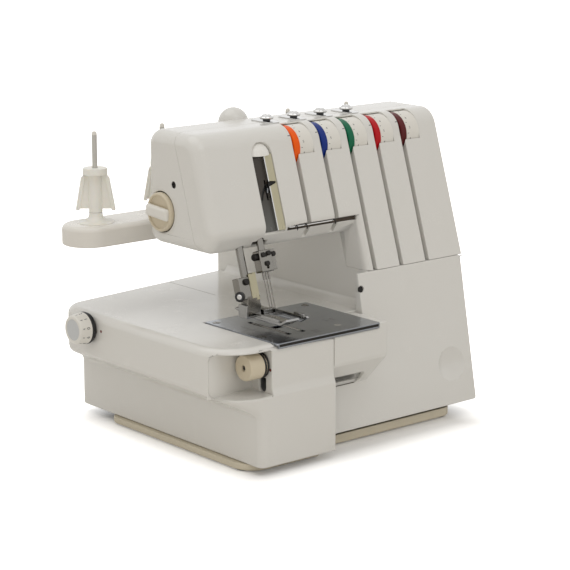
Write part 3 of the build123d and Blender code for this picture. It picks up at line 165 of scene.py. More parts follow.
finishSpecs = {
    "ivoryPlastic": {"colour": "e3e2de", "shade": "d6cdbd", "drift": 0.08, "rough": (0.18, 0.28), "bump": 0.02,
                     "grainScale": 1400.0, "cloudScale": 7.0, "coat": 0.25, "coatRough": 0.08, "ior": 1.5},
    "knobPlastic": {"colour": "eae8e2", "shade": "d6cbb6", "drift": 0.14, "rough": (0.28, 0.4), "bump": 0.04,
                    "grainScale": 1500.0, "cloudScale": 18.0, "coat": 0.1},
    "creamPlastic": {"colour": "d9ceb7", "shade": "bba883", "drift": 0.2, "rough": (0.28, 0.4), "bump": 0.04,
                     "grainScale": 1500.0, "cloudScale": 22.0, "coat": 0.1},
    "standPlastic": {"colour": "ebe8e2", "shade": "d6ccb8", "drift": 0.12, "rough": (0.2, 0.3), "bump": 0.03,
                     "grainScale": 1300.0, "cloudScale": 10.0},
    "conePlastic": {"colour": "f6f5ef", "shade": "e2d9c2", "drift": 0.15, "rough": (0.3, 0.44), "bump": 0.03,
                    "grainScale": 1500.0, "cloudScale": 30.0, "inner": 0.15},
    "pinGrey": {"colour": "cfcec9", "shade": "b0aea7", "drift": 0.3, "rough": (0.3, 0.42), "bump": 0.03,
                "grainScale": 1300.0, "cloudScale": 40.0},
    "panPlastic": {"colour": "dcd4c0", "shade": "b9ac8f", "drift": 0.2, "rough": (0.42, 0.6), "bump": 0.1,
                   "grainScale": 900.0},
    "blackRubber": {"colour": "1b1a19", "shade": "35322e", "drift": 0.4, "rough": (0.6, 0.8), "bump": 0.2,
                    "grainScale": 700.0},
    "blackPlastic": {"colour": "18181a", "shade": "2c2b2b", "drift": 0.3, "rough": (0.25, 0.42), "bump": 0.05},
    "frameCast": {"colour": "a4a5a6", "shade": "7c7b78", "drift": 0.3, "metal": 1.0, "rough": (0.42, 0.6), "bump": 0.25,
                  "grainScale": 500.0},
    "mirrorSteel": {"colour": "9a9ea4", "shade": "84878b", "drift": 0.3, "metal": 1.0, "rough": (0.1, 0.24), "bump": 0.014,
                    "grainScale": 260.0, "stretch": (0.12, 1.0, 1.0), "smearScale": 40.0},
    # painted reflection: the guard sheet is coloured dark brown, turning grey towards its foot, in place of the
    # mirror's reflection
    "guardPaintedReflection": {"colour": "3b342c", "shade": "2b2620", "drift": 0.4, "metal": 0.25, "rough": (0.16, 0.3), "bump": 0.02,
                  "grainScale": 420.0, "stretch": (1.0, 0.1, 0.1), "fade": {"low": 0.206, "high": 0.238, "colour": "5c5c58"}},
    "guardOlive": {"colour": "bdb79c", "shade": "a39c7e", "drift": 0.3, "metal": 0.25, "rough": (0.26, 0.4), "bump": 0.02,
                   "grainScale": 420.0, "stretch": (1.0, 0.1, 0.1)},
    "groundSteel": {"colour": "918e88", "shade": "5f5b54", "drift": 0.4, "metal": 1.0, "rough": (0.14, 0.3), "bump": 0.04,
                    "grainScale": 520.0, "stretch": (1.0, 1.0, 0.15)},
    "footChrome": {"colour": "a9a8a6", "shade": "6a6864", "drift": 0.3, "metal": 1.0, "rough": (0.08, 0.2), "bump": 0.03,
                   "grainScale": 400.0},
    "brightChrome": {"colour": "d6d5d3", "shade": "a5a29c", "drift": 0.15, "metal": 1.0, "rough": (0.05, 0.12), "bump": 0.01},
    "darkScrew": {"colour": "3a3836", "shade": "191817", "drift": 0.4, "metal": 1.0, "rough": (0.25, 0.42), "bump": 0.06},
    "bronzeBush": {"colour": "a07a45", "shade": "6d5230", "drift": 0.3, "metal": 1.0, "rough": (0.35, 0.5), "bump": 0.1},
    "motorPaint": {"colour": "3a3d40", "shade": "232527", "drift": 0.3, "rough": (0.4, 0.55), "bump": 0.1},
    "frostLens": {"colour": "e8e8e4", "shade": "d2d2ca", "drift": 0.2, "rough": (0.25, 0.4), "bump": 0.05, "inner": 0.2},
    "ringOrange": {"colour": "ff6400", "shade": "d84a00", "drift": 0.3, "rough": (0.3, 0.45), "bump": 0.03, "ior": 1.33},
    "ringBlue": {"colour": "0a2f86", "shade": "06205f", "drift": 0.3, "rough": (0.3, 0.45), "bump": 0.03, "ior": 1.33},
    "ringGreen": {"colour": "006a48", "shade": "004a33", "drift": 0.3, "rough": (0.3, 0.45), "bump": 0.03, "ior": 1.33},
    "ringRed": {"colour": "c40012", "shade": "8f000c", "drift": 0.3, "rough": (0.3, 0.45), "bump": 0.03, "ior": 1.33},
    "ringMaroon": {"colour": "5c0f12", "shade": "3e080a", "drift": 0.3, "rough": (0.3, 0.45), "bump": 0.03, "ior": 1.33},
    "inkDark": {"colour": "34373e", "shade": "585c64", "drift": 0.3, "rough": (0.45, 0.6), "bump": 0.0},
    "inkRed": {"colour": "6b2016", "shade": "54150d", "drift": 0.3, "rough": (0.45, 0.6), "bump": 0.0},
    "seamShade": {"colour": "5d564b", "shade": "403a32", "drift": 0.4, "rough": (0.6, 0.8), "bump": 0.0},
    # painted light: a whiter copy of the ivory, so the dome looks as lit as its bright top
    "domePaintedLight": {"colour": "f4f3ef", "shade": "dfdad0", "drift": 0.12, "rough": (0.2, 0.3), "bump": 0.02, "coat": 0.2},
    # painted shade: dark brown for the slab that closes the wire gap, where the arm's inside lies in shade
    "gapPaintedShade": {"colour": "4b3e30", "shade": "2a231b", "drift": 0.5, "rough": (0.5, 0.7), "bump": 0.0},
    "deepShade": {"colour": "171513", "shade": "080807", "drift": 0.5, "rough": (0.6, 0.85), "bump": 0.0},
    "capGrey": {"colour": "cfd1d2", "shade": "bcc0c2", "drift": 0.3, "rough": (0.3, 0.42), "bump": 0.03},
}
finish = {name: newFinish(name, spec) for name, spec in finishSpecs.items()}
slotFinish = {
    "ivory_plastic": "ivoryPlastic", "pan_plastic": "panPlastic", "rubber": "blackRubber", "cast_frame": "frameCast",
    "plate_steel": "mirrorSteel", "steel": "groundSteel", "bronze": "bronzeBush", "black_plastic": "blackPlastic",
    "motor_paint": "motorPaint", "lens": "frostLens", "ring_orange": "ringOrange", "ring_blue": "ringBlue",
    "ring_green": "ringGreen", "ring_red": "ringRed", "ring_maroon": "ringMaroon",
}
nodeSlot = {row["node"]: row["material_slot"] for row in frame["record"]["subparts"]}
nodeBody = {n: b for b, group in frame["record"]["behaviour"]["bodies"].items() for n in group}


def dress(obj, finishName):
    obj.data.materials.clear()
    obj.data.materials.append(finish[finishName])


for nodeName, obj in nodes.items():
    dress(obj, slotFinish[nodeSlot[nodeName]])
print("finishes made:", len(finish))


# Mesh helpers

def bevelEdges(bm, width, steps=2, limit=30.0):
    bm.normal_update()
    chosen = [e for e in bm.edges if len(e.link_faces) == 2
              and e.calc_face_angle(0.0) > math.radians(limit) and e.is_convex]
    if chosen:
        bmesh.ops.bevel(bm, geom=chosen, offset=mm(width), offset_type="OFFSET", segments=steps, profile=0.5,
                        affect="EDGES", clamp_overlap=False, loop_slide=True, material=-1)


def keep(bm, name, body, finishName, stands=None, smooth=38.0, weighted=True):
    mesh = bpy.data.meshes.new(name)
    bm.to_mesh(mesh)
    bm.free()
    obj = bpy.data.objects.new(name, mesh)
    bpy.context.scene.collection.objects.link(obj)
    mesh.materials.append(finish[finishName])
    for face in mesh.polygons:
        face.use_smooth = True
    mesh.set_sharp_from_angle(angle=math.radians(smooth))
    if weighted:
        even = obj.modifiers.new("evenNormals", "WEIGHTED_NORMAL")
        even.keep_sharp = True
        even.weight = 70
    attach(obj, body)
    if stands:
        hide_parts(*([stands] if isinstance(stands, str) else stands))
    return obj


def cadMesh(node):
    bm = bmesh.new()
    bm.from_mesh(nodes[node].data)
    bmesh.ops.remove_doubles(bm, verts=bm.verts, dist=2e-6)
    bmesh.ops.dissolve_limit(bm, angle_limit=math.radians(0.3), verts=bm.verts, edges=bm.edges)
    return bm


def carve(bm, cutters):
    mesh = bpy.data.meshes.new("carveBase")
    bm.to_mesh(mesh)
    bm.free()
    base = bpy.data.objects.new("carveBase", mesh)
    bpy.context.scene.collection.objects.link(base)
    tools = []
    for tool in cutters:
        toolMesh = bpy.data.meshes.new("carveTool")
        tool.to_mesh(toolMesh)
        tool.free()
        toolObj = bpy.data.objects.new("carveTool", toolMesh)
        bpy.context.scene.collection.objects.link(toolObj)
        cut = base.modifiers.new("cut", "BOOLEAN")
        cut.operation = "DIFFERENCE"
        cut.solver = "EXACT"
        cut.object = toolObj
        tools.append(toolObj)
    bpy.context.view_layer.update()
    result = bmesh.new()
    result.from_mesh(base.evaluated_get(bpy.context.evaluated_depsgraph_get()).to_mesh())
    for spare in tools + [base]:
        spareMesh = spare.data
        bpy.data.objects.remove(spare)
        bpy.data.meshes.remove(spareMesh)
    bmesh.ops.remove_doubles(result, verts=result.verts, dist=1e-6)
    return result


def softCopy(node, finishName, width, steps=2, limit=30.0, cutters=()):
    bm = cadMesh(node)
    if cutters:
        bm = carve(bm, cutters)
        bmesh.ops.dissolve_limit(bm, angle_limit=math.radians(0.3), verts=bm.verts, edges=bm.edges)
    bevelEdges(bm, width, steps, limit)
    return keep(bm, node + "_soft", nodeBody[node], finishName, stands=node)


def frameAt(origin, axis):
    turn = Vector(axis).to_track_quat("Z", "Y").to_matrix().to_4x4()
    return Matrix.Translation(origin) @ turn


def leanFrame(x, yAtBed, z):
    return Matrix.Translation(at(x, yAtBed + frontLean * (z - bedTop), z)) @ Matrix.Rotation(-leanAngle, 4, "X")


def lathe(profile, origin, axis, steps=48):
    bm = bmesh.new()                                   # profile rows are (radius, height) in mm
    rim = [bm.verts.new((mm(max(r, 0.0)), 0.0, mm(h))) for r, h in profile]
    for a, b in zip(rim, rim[1:]):
        bm.edges.new((a, b))
    bmesh.ops.spin(bm, geom=bm.verts[:] + bm.edges[:], cent=(0, 0, 0), axis=(0, 0, 1), angle=math.tau,
                   steps=steps, use_merge=True)
    bmesh.ops.remove_doubles(bm, verts=bm.verts, dist=1e-7)
    bmesh.ops.recalc_face_normals(bm, faces=bm.faces)
    bmesh.ops.transform(bm, matrix=frameAt(origin, axis), verts=bm.verts)
    return bm


def box(size, centre=(0, 0, 0), bevel=0.0, steps=2):
    bm = bmesh.new()
    bmesh.ops.create_cube(bm, size=1.0)
    bmesh.ops.scale(bm, vec=[mm(v) for v in size], verts=bm.verts)
    bmesh.ops.translate(bm, vec=[mm(v) for v in centre], verts=bm.verts)
    if bevel:
        bevelEdges(bm, bevel, steps)
    return bm


def slab(x0, x1, y0, y1, z0, z1, bevel=0.0, steps=2):
    bm = box((x1 - x0, y1 - y0, z1 - z0), bevel=bevel, steps=steps)
    bmesh.ops.translate(bm, vec=at((x0 + x1) / 2, (y0 + y1) / 2, (z0 + z1) / 2), verts=bm.verts)
    return bm


def prism(points, thick, bevel=0.0, steps=2):
    bm = bmesh.new()                                   # outline in local XY, thickness along +Z
    face = bm.faces.new([bm.verts.new((mm(x), mm(y), 0.0)) for x, y in points])
    made = bmesh.ops.extrude_face_region(bm, geom=[face])
    top = [v for v in made["geom"] if isinstance(v, bmesh.types.BMVert)]
    bmesh.ops.translate(bm, vec=(0, 0, mm(thick)), verts=top)
    bmesh.ops.recalc_face_normals(bm, faces=bm.faces)
    if bevel:
        bevelEdges(bm, bevel, steps)
    return bm


def moved(bm, matrix):
    bmesh.ops.transform(bm, matrix=matrix, verts=bm.verts)
    return bm


def joined(parts):
    whole = bmesh.new()
    for bm in parts:
        mesh = bpy.data.meshes.new("joinPart")
        bm.to_mesh(mesh)
        bm.free()
        whole.from_mesh(mesh)
        bpy.data.meshes.remove(mesh)
    return whole


def curveMesh(curve):
    holder = bpy.data.objects.new("curveHolder", curve)
    bpy.context.scene.collection.objects.link(holder)
    bpy.context.view_layer.update()
    mesh = bpy.data.meshes.new_from_object(holder.evaluated_get(bpy.context.evaluated_depsgraph_get()))
    bpy.data.objects.remove(holder)
    bpy.data.curves.remove(curve)
    bm = bmesh.new()
    bm.from_mesh(mesh)
    bpy.data.meshes.remove(mesh)
    return bm


def wire(points, radius, smoothLine=True):
    curve = bpy.data.curves.new("wireLine", "CURVE")
    curve.dimensions = "3D"
    curve.bevel_depth = mm(radius)
    curve.bevel_resolution = 3
    curve.use_fill_caps = True
    curve.resolution_u = 8
    line = curve.splines.new("NURBS" if smoothLine else "POLY")
    line.points.add(len(points) - 1)
    for knot, p in zip(line.points, points):
        knot.co = tuple(at(*p)) + (1.0,)
    if smoothLine:
        line.order_u = 3
        line.use_endpoint_u = True
    bm = curveMesh(curve)
    bmesh.ops.remove_doubles(bm, verts=bm.verts, dist=1e-7)
    bmesh.ops.recalc_face_normals(bm, faces=bm.faces)
    return bm


def figure(text, size):
    curve = bpy.data.curves.new("figureText", "FONT")
    curve.body = text
    curve.size = mm(size)
    curve.align_x = "CENTER"
    curve.align_y = "CENTER"
    curve.extrude = mm(0.06)
    curve.resolution_u = 3
    return curveMesh(curve)


def wrapX(bm, x, y, z, radius, angle, turned=False, taper=0.0):
    for v in bm.verts:                                 # flat print bent round an axis along X; angle 0 faces -Y
        across, up = (v.co.y, -v.co.x) if turned else (v.co.x, v.co.y)
        lift = mm(radius) + taper * across + max(v.co.z, 0.0)
        a = angle + up / mm(radius)
        v.co = at(x, y, z) + Vector((across, -lift * math.cos(a), lift * math.sin(a)))
    return bm


# Shells

fingerGroove = {"x0": 70.0, "x1": 136.0, "z0": 56.4, "z1": 67.0, "deep": 1.7, "round": 5.0}
wireGap = {"x0": 82.0, "x1": 166.0, "z0": 202.0, "z1": 205.4, "deep": 6.0}


def onFront(x, z, depth=0.0):
    leaning = Matrix.Translation(at(x, frontY(z), z)) @ Matrix.Rotation(-leanAngle, 4, "X")
    return leaning @ Matrix.Translation((0, mm(depth), 0))


def frontSlab(x0, x1, z0, z1, d0, d1, bevel=0.0, steps=2):
    tall = (z1 - z0) / math.cos(leanAngle)             # a slab on the leaning front, d0 to d1 behind it
    bm = box((x1 - x0, d1 - d0, tall), (0, (d0 + d1) / 2, 0), bevel, steps)
    return moved(bm, onFront((x0 + x1) / 2, (z0 + z1) / 2))


def grooveTool():
    g = fingerGroove
    midZ = (g["z0"] + g["z1"]) / 2
    turn = math.atan(coverLean["slope"])
    pts = [(g["x0"], g["z0"]), (g["x1"] - g["round"], g["z0"])]
    for k in range(1, 8):
        a = -math.pi / 2 + math.pi * k / 8
        half = (g["z1"] - g["z0"]) / 2
        pts.append((g["x1"] - g["round"] + g["round"] * math.cos(a), midZ + half * math.sin(a)))
    pts += [(g["x1"] - g["round"], g["z1"]), (g["x0"], g["z1"])]
    bm = prism([(x - g["x0"], z - midZ) for x, z in pts], 20.0)
    place = Matrix.Translation(at(g["x0"], coverY(midZ), midZ)) @ Matrix.Rotation(-turn, 4, "X")
    return moved(bm, place @ Matrix.Rotation(math.pi / 2, 4, "X") @ Matrix.Translation((0, 0, -mm(g["deep"]))))


pocket = {"floor": 72.4, "roof": 113.6, "thick": 1.2,
          "line": [(-41.6, 28.9), (-40.2, 28.3), (-37.0, 28.0), (-32.6, 27.9), (-27.0, 28.3), (-20.0, 29.3),
                   (-12.0, 30.4), (-4.0, 31.3), (10.2, 31.8)]}
softCopy("bed_cover", "ivoryPlastic", 1.4, 3, 32.0)
bowlRear = [(x, y + pocket["thick"]) for x, y in pocket["line"][::-1]]
bowlWall = prism(pocket["line"] + bowlRear, pocket["roof"] - pocket["floor"])
moved(bowlWall, Matrix.Translation(at(0, 0, pocket["floor"])))
keep(bowlWall, "pocketBowl", "machine", "ivoryPlastic")
softCopy("front_casing", "ivoryPlastic", 0.6, 2, 32.0, cutters=[
    frontSlab(wireGap["x0"], wireGap["x1"], wireGap["z0"], wireGap["z1"], -6.0, wireGap["deep"])])
softCopy("rear_casing", "ivoryPlastic", 0.7, 2, 32.0)
softCopy("side_casing", "ivoryPlastic", 0.7, 2, 32.0)
softCopy("looper_cover", "ivoryPlastic", 0.8, 3, 32.0, cutters=[grooveTool()])
softened = {
    "spool_stand": ("standPlastic", 0.6),
    "base_pan": ("panPlastic", 0.8),
    "handwheel": ("knobPlastic", 0.5),
    "needle_plate": ("mirrorSteel", 0.3),
    "presser_foot": ("footChrome", 0.35),
    "foot_ankle": ("groundSteel", 0.3),
    "needle_clamp": ("groundSteel", 0.25),
    "presser_lifter": ("groundSteel", 0.5),
    "power_socket": ("blackPlastic", 0.4),
    "power_switch": ("blackPlastic", 0.4),
}
for nodeName, (finishName, width) in softened.items():
    softCopy(nodeName, finishName, width, 2, 32.0)
softCopy("rubber_feet", "blackRubber", 0.3, 2, 40.0)
for index in range(5):
    softCopy(f"tension_dial_{index + 1}", "knobPlastic", 0.3, 2, 40.0)
    softCopy(f"colour_ring_{index + 1}", slotFinish[nodeSlot[f"colour_ring_{index + 1}"]], 0.4, 3, 40.0)
print("shells softened")

surfaces = {}


def touch(node, start, heading):
    if node not in surfaces:                           # where a straight line first meets a CAD surface
        bm = bmesh.new()
        bm.from_mesh(nodes[node].data)
        surfaces[node] = BVHTree.FromBMesh(bm)
        bm.free()
    return surfaces[node].ray_cast(at(*start), Vector(heading).normalized())[:2]


def sticker(bm, node, start, heading, along, lift=0.04):
    place, normal = touch(node, start, heading)        # lays a flat shape on a CAD surface, its X axis turned to along
    side = (Vector(along) - normal * normal.dot(Vector(along))).normalized()
    up = normal.cross(side)
    grid = Matrix((side, up, normal)).transposed().to_4x4()
    return moved(bm, Matrix.Translation(place + normal * mm(lift)) @ grid)


# Tension dials

figures = {"size": 3.1, "first": -100.0, "step": 30.0, "inset": 4.6, "tick": 1.5, "tickInset": 2.0, "proud": 0.02}
dialIndex = {"left": 4.4, "y": 78.0, "z": 292.5, "aim": (0, 1, -0.72)}
for index in range(5):
    t = tension
    left = t["first"] + index * t["pitch"] + t["shift"]
    reach = t["radius"] + figures["proud"]
    marks = []
    for k in range(9):
        angle = math.radians(figures["first"] + figures["step"] * k)
        number = figure(str(k + 1), figures["size"])
        marks.append(wrapX(number, left + figures["inset"], t["y"], t["z"], reach, angle))
        tick = box((figures["tick"], 0.45, 0.06), (0, 0, 0.03))
        halfway = angle + math.radians(figures["step"] / 2)
        marks.append(wrapX(tick, left + figures["tickInset"], t["y"], t["z"], reach, halfway))
    keep(joined(marks), f"tensionFigures{index + 1}", f"dial_{index + 1}", "inkDark", weighted=False)
    start = (t["first"] + index * t["pitch"] - dialIndex["left"], dialIndex["y"], dialIndex["z"])
    dash = sticker(box((2.6, 0.7, 0.08)), "front_casing", start, dialIndex["aim"], (1, 0, 0))
    keep(dash, f"tensionIndex{index + 1}", "machine", "inkDark", weighted=False)

# Thread guides on the arm

guides = {"first": 104.6, "pitch": 32.8, "y": 125.04, "top": 292.0, "corner": 4.5}
guideRim = [(3.6, 0.9), (3.4, 2.2), (4.8, 2.4), (6.0, 2.7), (6.2, 3.1), (5.4, 3.2)]
guideCap = [(6.0, 3.0), (6.5, 3.3), (6.6, 4.2), (6.1, 4.9), (5.0, 5.2), (4.6, 5.3), (4.4, 6.2), (3.6, 6.7),
            (2.0, 6.8), (1.6, 6.4), (0, 6.3)]
plateParts, rimParts, capParts = [], [], []
for index in range(4):
    spot = at(guides["first"] + index * guides["pitch"], guides["y"], guides["top"])
    outline = []
    for cx, cy, start in ((1.9, 13.3, 0), (-1.9, 13.3, 90), (-1.9, -9.3, 180), (1.9, -9.3, 270)):
        for k in range(7):
            a = math.radians(start + 15 * k)
            outline.append((cx + guides["corner"] * math.cos(a), cy + guides["corner"] * math.sin(a)))
    plateParts.append(moved(prism(outline, 1.0, 0.3, 2), Matrix.Translation(spot)))
    rimParts.append(lathe(guideRim, spot, zUp))
    capParts.append(lathe(guideCap, spot, zUp))
keep(joined(plateParts), "guidePlates", "machine", "brightChrome", stands="thread_guides")
keep(joined(rimParts), "guideRims", "machine", "blackPlastic")
keep(joined(capParts), "guideCaps", "machine", "brightChrome")

# Take-up guard in the arm's face

guard = {"left": 56.5, "right": 78.5, "low": 203.0, "top": 269.8, "ridge": 69.2, "ridgeWide": 1.1, "midX": 67.5,
         "slot0": 66.2, "slot1": 68.0, "slotLow": 230.5, "slotTop": 248.0, "slitMid": 233.0, "backLow": 219.0, "backTop": 247.0}
g = guard
slitFlange = [(79.6, 244.7), (75.0, 243.4), (72.0, 242.4), (69.0, 241.8), (69.0, 246.2), (72.0, 246.4), (75.0, 246.0),
              (79.6, 245.5)]
slitSheet = [(74.0, 241.6), (71.0, 241.4), (68.4, 240.8), (65.4, 238.8), (62.8, 235.2), (61.2, 230.4), (59.6, 230.4),
             (61.2, 236.4), (63.8, 240.8), (66.5, 243.6), (70.0, 244.8), (74.0, 245.6)]


def slitTool(outline, d0, d1):
    upright = [(x - g["midX"], (z - g["slitMid"]) / math.cos(leanAngle)) for x, z in outline]
    return moved(prism(upright, d1 - d0), onFront(g["midX"], g["slitMid"], d1) @ Matrix.Rotation(math.pi / 2, 4, "X"))


def guardSlab(x0, x1, d0, d1, bevel=0.0, steps=2):
    return frontSlab(x0, x1, g["low"], g["top"], d0, d1, bevel, steps)


leverGap = frontSlab(g["slot0"], g["slot1"], g["slotLow"], g["slotTop"], 2.0, 8.0)
sheetBm = carve(guardSlab(g["left"], g["right"], 3.9, 4.5, 0.1, 1), [slitTool(slitSheet, 2.6, 8.0), leverGap])
# painted reflection: the sheet's dark-to-grey colour stands in for what the mirror reflects
keep(sheetBm, "guardSheet", "machine", "guardPaintedReflection", stands="take_up_guard")
flange0 = g["ridge"] + g["ridgeWide"]
ridgeBm = carve(guardSlab(g["ridge"], flange0, 0.7, 3.9, 0.3, 3), [slitTool(slitFlange, -3.0, 8.0)])
keep(ridgeBm, "guardRidge", "machine", "brightChrome")
flangeBm = carve(guardSlab(flange0, g["right"], 0.9, 1.5, 0.2, 2), [slitTool(slitFlange, -3.0, 8.0)])
flangeSide = guardSlab(g["right"] - 0.7, g["right"], 1.6, 3.8)
keep(joined([flangeBm, flangeSide]), "guardFlange", "machine", "guardOlive")
flangeBack = frontSlab(g["ridge"] + 0.2, g["right"] - 0.8, 240.0, 247.5, 2.2, 2.6)
sheetBack = [frontSlab(x0, x1, g["backLow"], g["backTop"], 4.52, 4.84)
             for x0, x1 in ((g["left"] - 0.2, g["slot0"]), (g["slot1"], g["right"] + 0.2))]
keep(joined(sheetBack + [flangeBack]), "guardBack", "machine", "deepShade", weighted=False)
domeSize = (11.4, 6.2, 11.2)
dome = bmesh.new()
bmesh.ops.create_uvsphere(dome, u_segments=40, v_segments=24, radius=1.0)
bmesh.ops.scale(dome, vec=[mm(v) for v in domeSize], verts=dome.verts)
bmesh.ops.bisect_plane(dome, geom=dome.verts[:] + dome.edges[:] + dome.faces[:], plane_co=(0, 0, 0),
                       plane_no=(0, -0.35, 1), clear_inner=True)
bmesh.ops.holes_fill(dome, edges=[e for e in dome.edges if e.is_boundary], sides=0)
# painted light: the dome takes the whiter ivory in place of the light on its top
keep(moved(dome, onFront(g["midX"], 270.2, 4.9)), "guardDome", "machine", "domePaintedLight", smooth=50.0)

# Wire guides under the arm's front edge

w = wireGap
# painted shade: a dark slab behind the wire guides stands in for the shade inside the arm
gapBack = frontSlab(w["x0"] + 0.3, w["x1"] - 0.3, w["z0"] + 0.1, w["z1"] - 0.1, 5.2, 5.9)
keep(gapBack, "wireGapBack", "machine", "gapPaintedShade", weighted=False)
wireBar = {"x0": 83.5, "x1": 138.0, "z": 203.7, "deep": 2.2, "radius": 0.65}
x0, x1, z = wireBar["x0"], wireBar["x1"], wireBar["z"]
y = frontY(z) + wireBar["deep"]
barLine = [(x0, y + 3, z), (x0, y, z), (x0 + 4, y - 0.4, z - 0.2), (x1 - 4, y - 0.4, z - 0.2), (x1, y, z), (x1, y + 3, z)]
keep(wire(barLine, wireBar["radius"]), "wireGuides", "machine", "brightChrome")
wireHook = {"x": (91.5, 103.0, 137.5), "z": 202.6, "radius": 0.55}
hooks = []
z = wireHook["z"]
y = frontY(z)
for x in wireHook["x"]:
    hookLine = [(x, y + 4, z + 2.2), (x, y + 0.4, z + 2.0), (x, y - 0.2, z - 1.4), (x + 1.2, y + 1.6, z - 2.4)]
    hooks.append(wire(hookLine, wireHook["radius"]))
keep(joined(hooks), "wireHooks", "machine", "darkScrew")
print("arm details made")


# Knobs

def xLathe(profile, x, y, z, steps=64):
    return lathe(profile, at(x, y, z), (-1, 0, 0), steps)


knob = {"x": -4.0, "y": 142.0, "z": 218.0, "gripOut": 5.4, "gripHalf": 15.75, "gripTurn": 4.0,
        "disc": [(0, 2.4), (13.6, 2.4), (14.8, 3.0), (15.4, 4.6), (16.2, 5.0), (17.0, 4.8), (17.7, 4.1), (18.0, 3.0), (18.0, 0.0),
                 (0, 0)],
        "gap": [(18.1, 0.1), (18.95, 0.1), (18.95, 0.0), (18.1, 0.0), (18.1, 0.1)]}
k = knob
disc = xLathe(k["disc"], k["x"], k["y"], k["z"])
grip = box((6.4, 2 * k["gripHalf"], 9.4), (0, 0, 0), 2.6, 4)
for v in grip.verts:                                   # the grip flares towards its ends
    v.co.z *= 0.82 + 0.5 * (v.co.y / mm(k["gripHalf"])) ** 2
gripSpot = Matrix.Translation(at(k["x"] - k["gripOut"], k["y"], k["z"]))
moved(grip, gripSpot @ Matrix.Rotation(math.radians(k["gripTurn"]), 4, "X"))
keep(disc, "pressureKnobShape", "pressure_knob", "creamPlastic", stands="pressure_knob", smooth=34.0)
keep(grip, "pressureKnobGrip", "pressure_knob", "knobPlastic", smooth=34.0)
knobGap = xLathe(k["gap"], k["x"] - 0.1, k["y"], k["z"])
keep(knobGap, "pressureKnobGap", "machine", "deepShade", weighted=False)
softCopy("casing_screws", "darkScrew", 0.2, 2, 40.0)

lengthDial = {"x": -46.0, "y": 204.5, "z": 104.5, "taper": 1.3 / 9.2, "first": 12.0, "step": 36.0,
              "cap": [(0, 16.5), (10.4, 16.5), (10.9, 16.9), (11.8, 17.0), (12.9, 16.6), (13.4, 15.8), (13.7, 14.8), (15.0, 5.6),
                      (14.8, 4.7), (14.0, 4.4), (0, 4.4)],
              "face": [(0, 16.62), (10.0, 16.62), (10.0, 16.4), (0, 16.4)],
              "foot": [(0, 4.4), (14.8, 4.4), (15.2, 3.9), (15.2, 2.6), (14.0, 2.0), (14.0, 0.0), (0, 0.0)]}
d = lengthDial
keep(xLathe(d["cap"], d["x"], d["y"], d["z"]), "lengthDialCap", "length_dial", "knobPlastic",
     stands="stitch_length_dial")
keep(xLathe(d["face"], d["x"], d["y"], d["z"]), "lengthDialFace", "length_dial", "capGrey")
keep(xLathe(d["foot"], d["x"], d["y"], d["z"]), "lengthDialBase", "length_dial", "blackPlastic")
dialMarks = []
for n in range(10):
    angle = math.radians(d["step"] * n + d["first"])
    dialMarks.append(wrapX(figure(str(n), 4.6), d["x"] - 9.0, d["y"], d["z"], 14.56, angle, True, d["taper"]))
    tick = box((2.0, 0.6, 0.06), (0, 0, 0.03))
    dialMarks.append(wrapX(tick, d["x"] - 13.2, d["y"], d["z"], 13.97, angle, False, d["taper"]))
keep(joined(dialMarks), "lengthDialFigures", "length_dial", "inkDark", weighted=False)

widthDial = {"x": 9.4, "y": 17.0, "z": 98.0, "ringFeet": (0.5, 3.2),
             "cap": [(0, 18.4), (2.2, 18.4), (2.6, 18.9), (2.7, 20.6), (3.2, 21.0), (10.0, 21.0), (11.1, 20.6), (11.6, 19.8),
                     (11.8, 18.8), (11.8, 5.6), (11.4, 5.1), (10.8, 5.0), (10.8, 0.0), (0, 0)],
             "ring": [(10.6, 0), (11.7, 0), (11.8, 0.3), (11.8, 1.1), (11.7, 1.4), (10.6, 1.4), (10.6, 0)],
             "screw": [(0, 19.6), (0.6, 19.9), (1.6, 19.7), (2.2, 19.1), (2.3, 18.4), (0, 18.4)]}
d = widthDial
keep(xLathe(d["cap"], d["x"], d["y"], d["z"]), "widthDialCap", "width_dial", "creamPlastic", stands="width_dial")
rings = [xLathe([(r, foot + h) for r, h in d["ring"]], d["x"], d["y"], d["z"]) for foot in d["ringFeet"]]
keep(joined(rings), "widthDialRings", "width_dial", "blackPlastic")
keep(xLathe(d["screw"], d["x"], d["y"], d["z"]), "widthDialScrew", "width_dial", "darkScrew")
indexDot = [(0, 0.12), (1.1, 0.1), (1.4, 0.0), (0, 0)]
for pieceName, start in (("lengthIndex", (-60.0, 184.6, 104.0)), ("widthIndex", (4.0, 5.6, 95.0))):
    dot = sticker(lathe(indexDot, origin0, zUp, 24), "bed_cover", start, (1, 0, 0), (0, 1, 0), 0.0)
    keep(dot, pieceName, "machine", "inkRed", weighted=False)
print("knobs made")

# Spool pins and cone holders

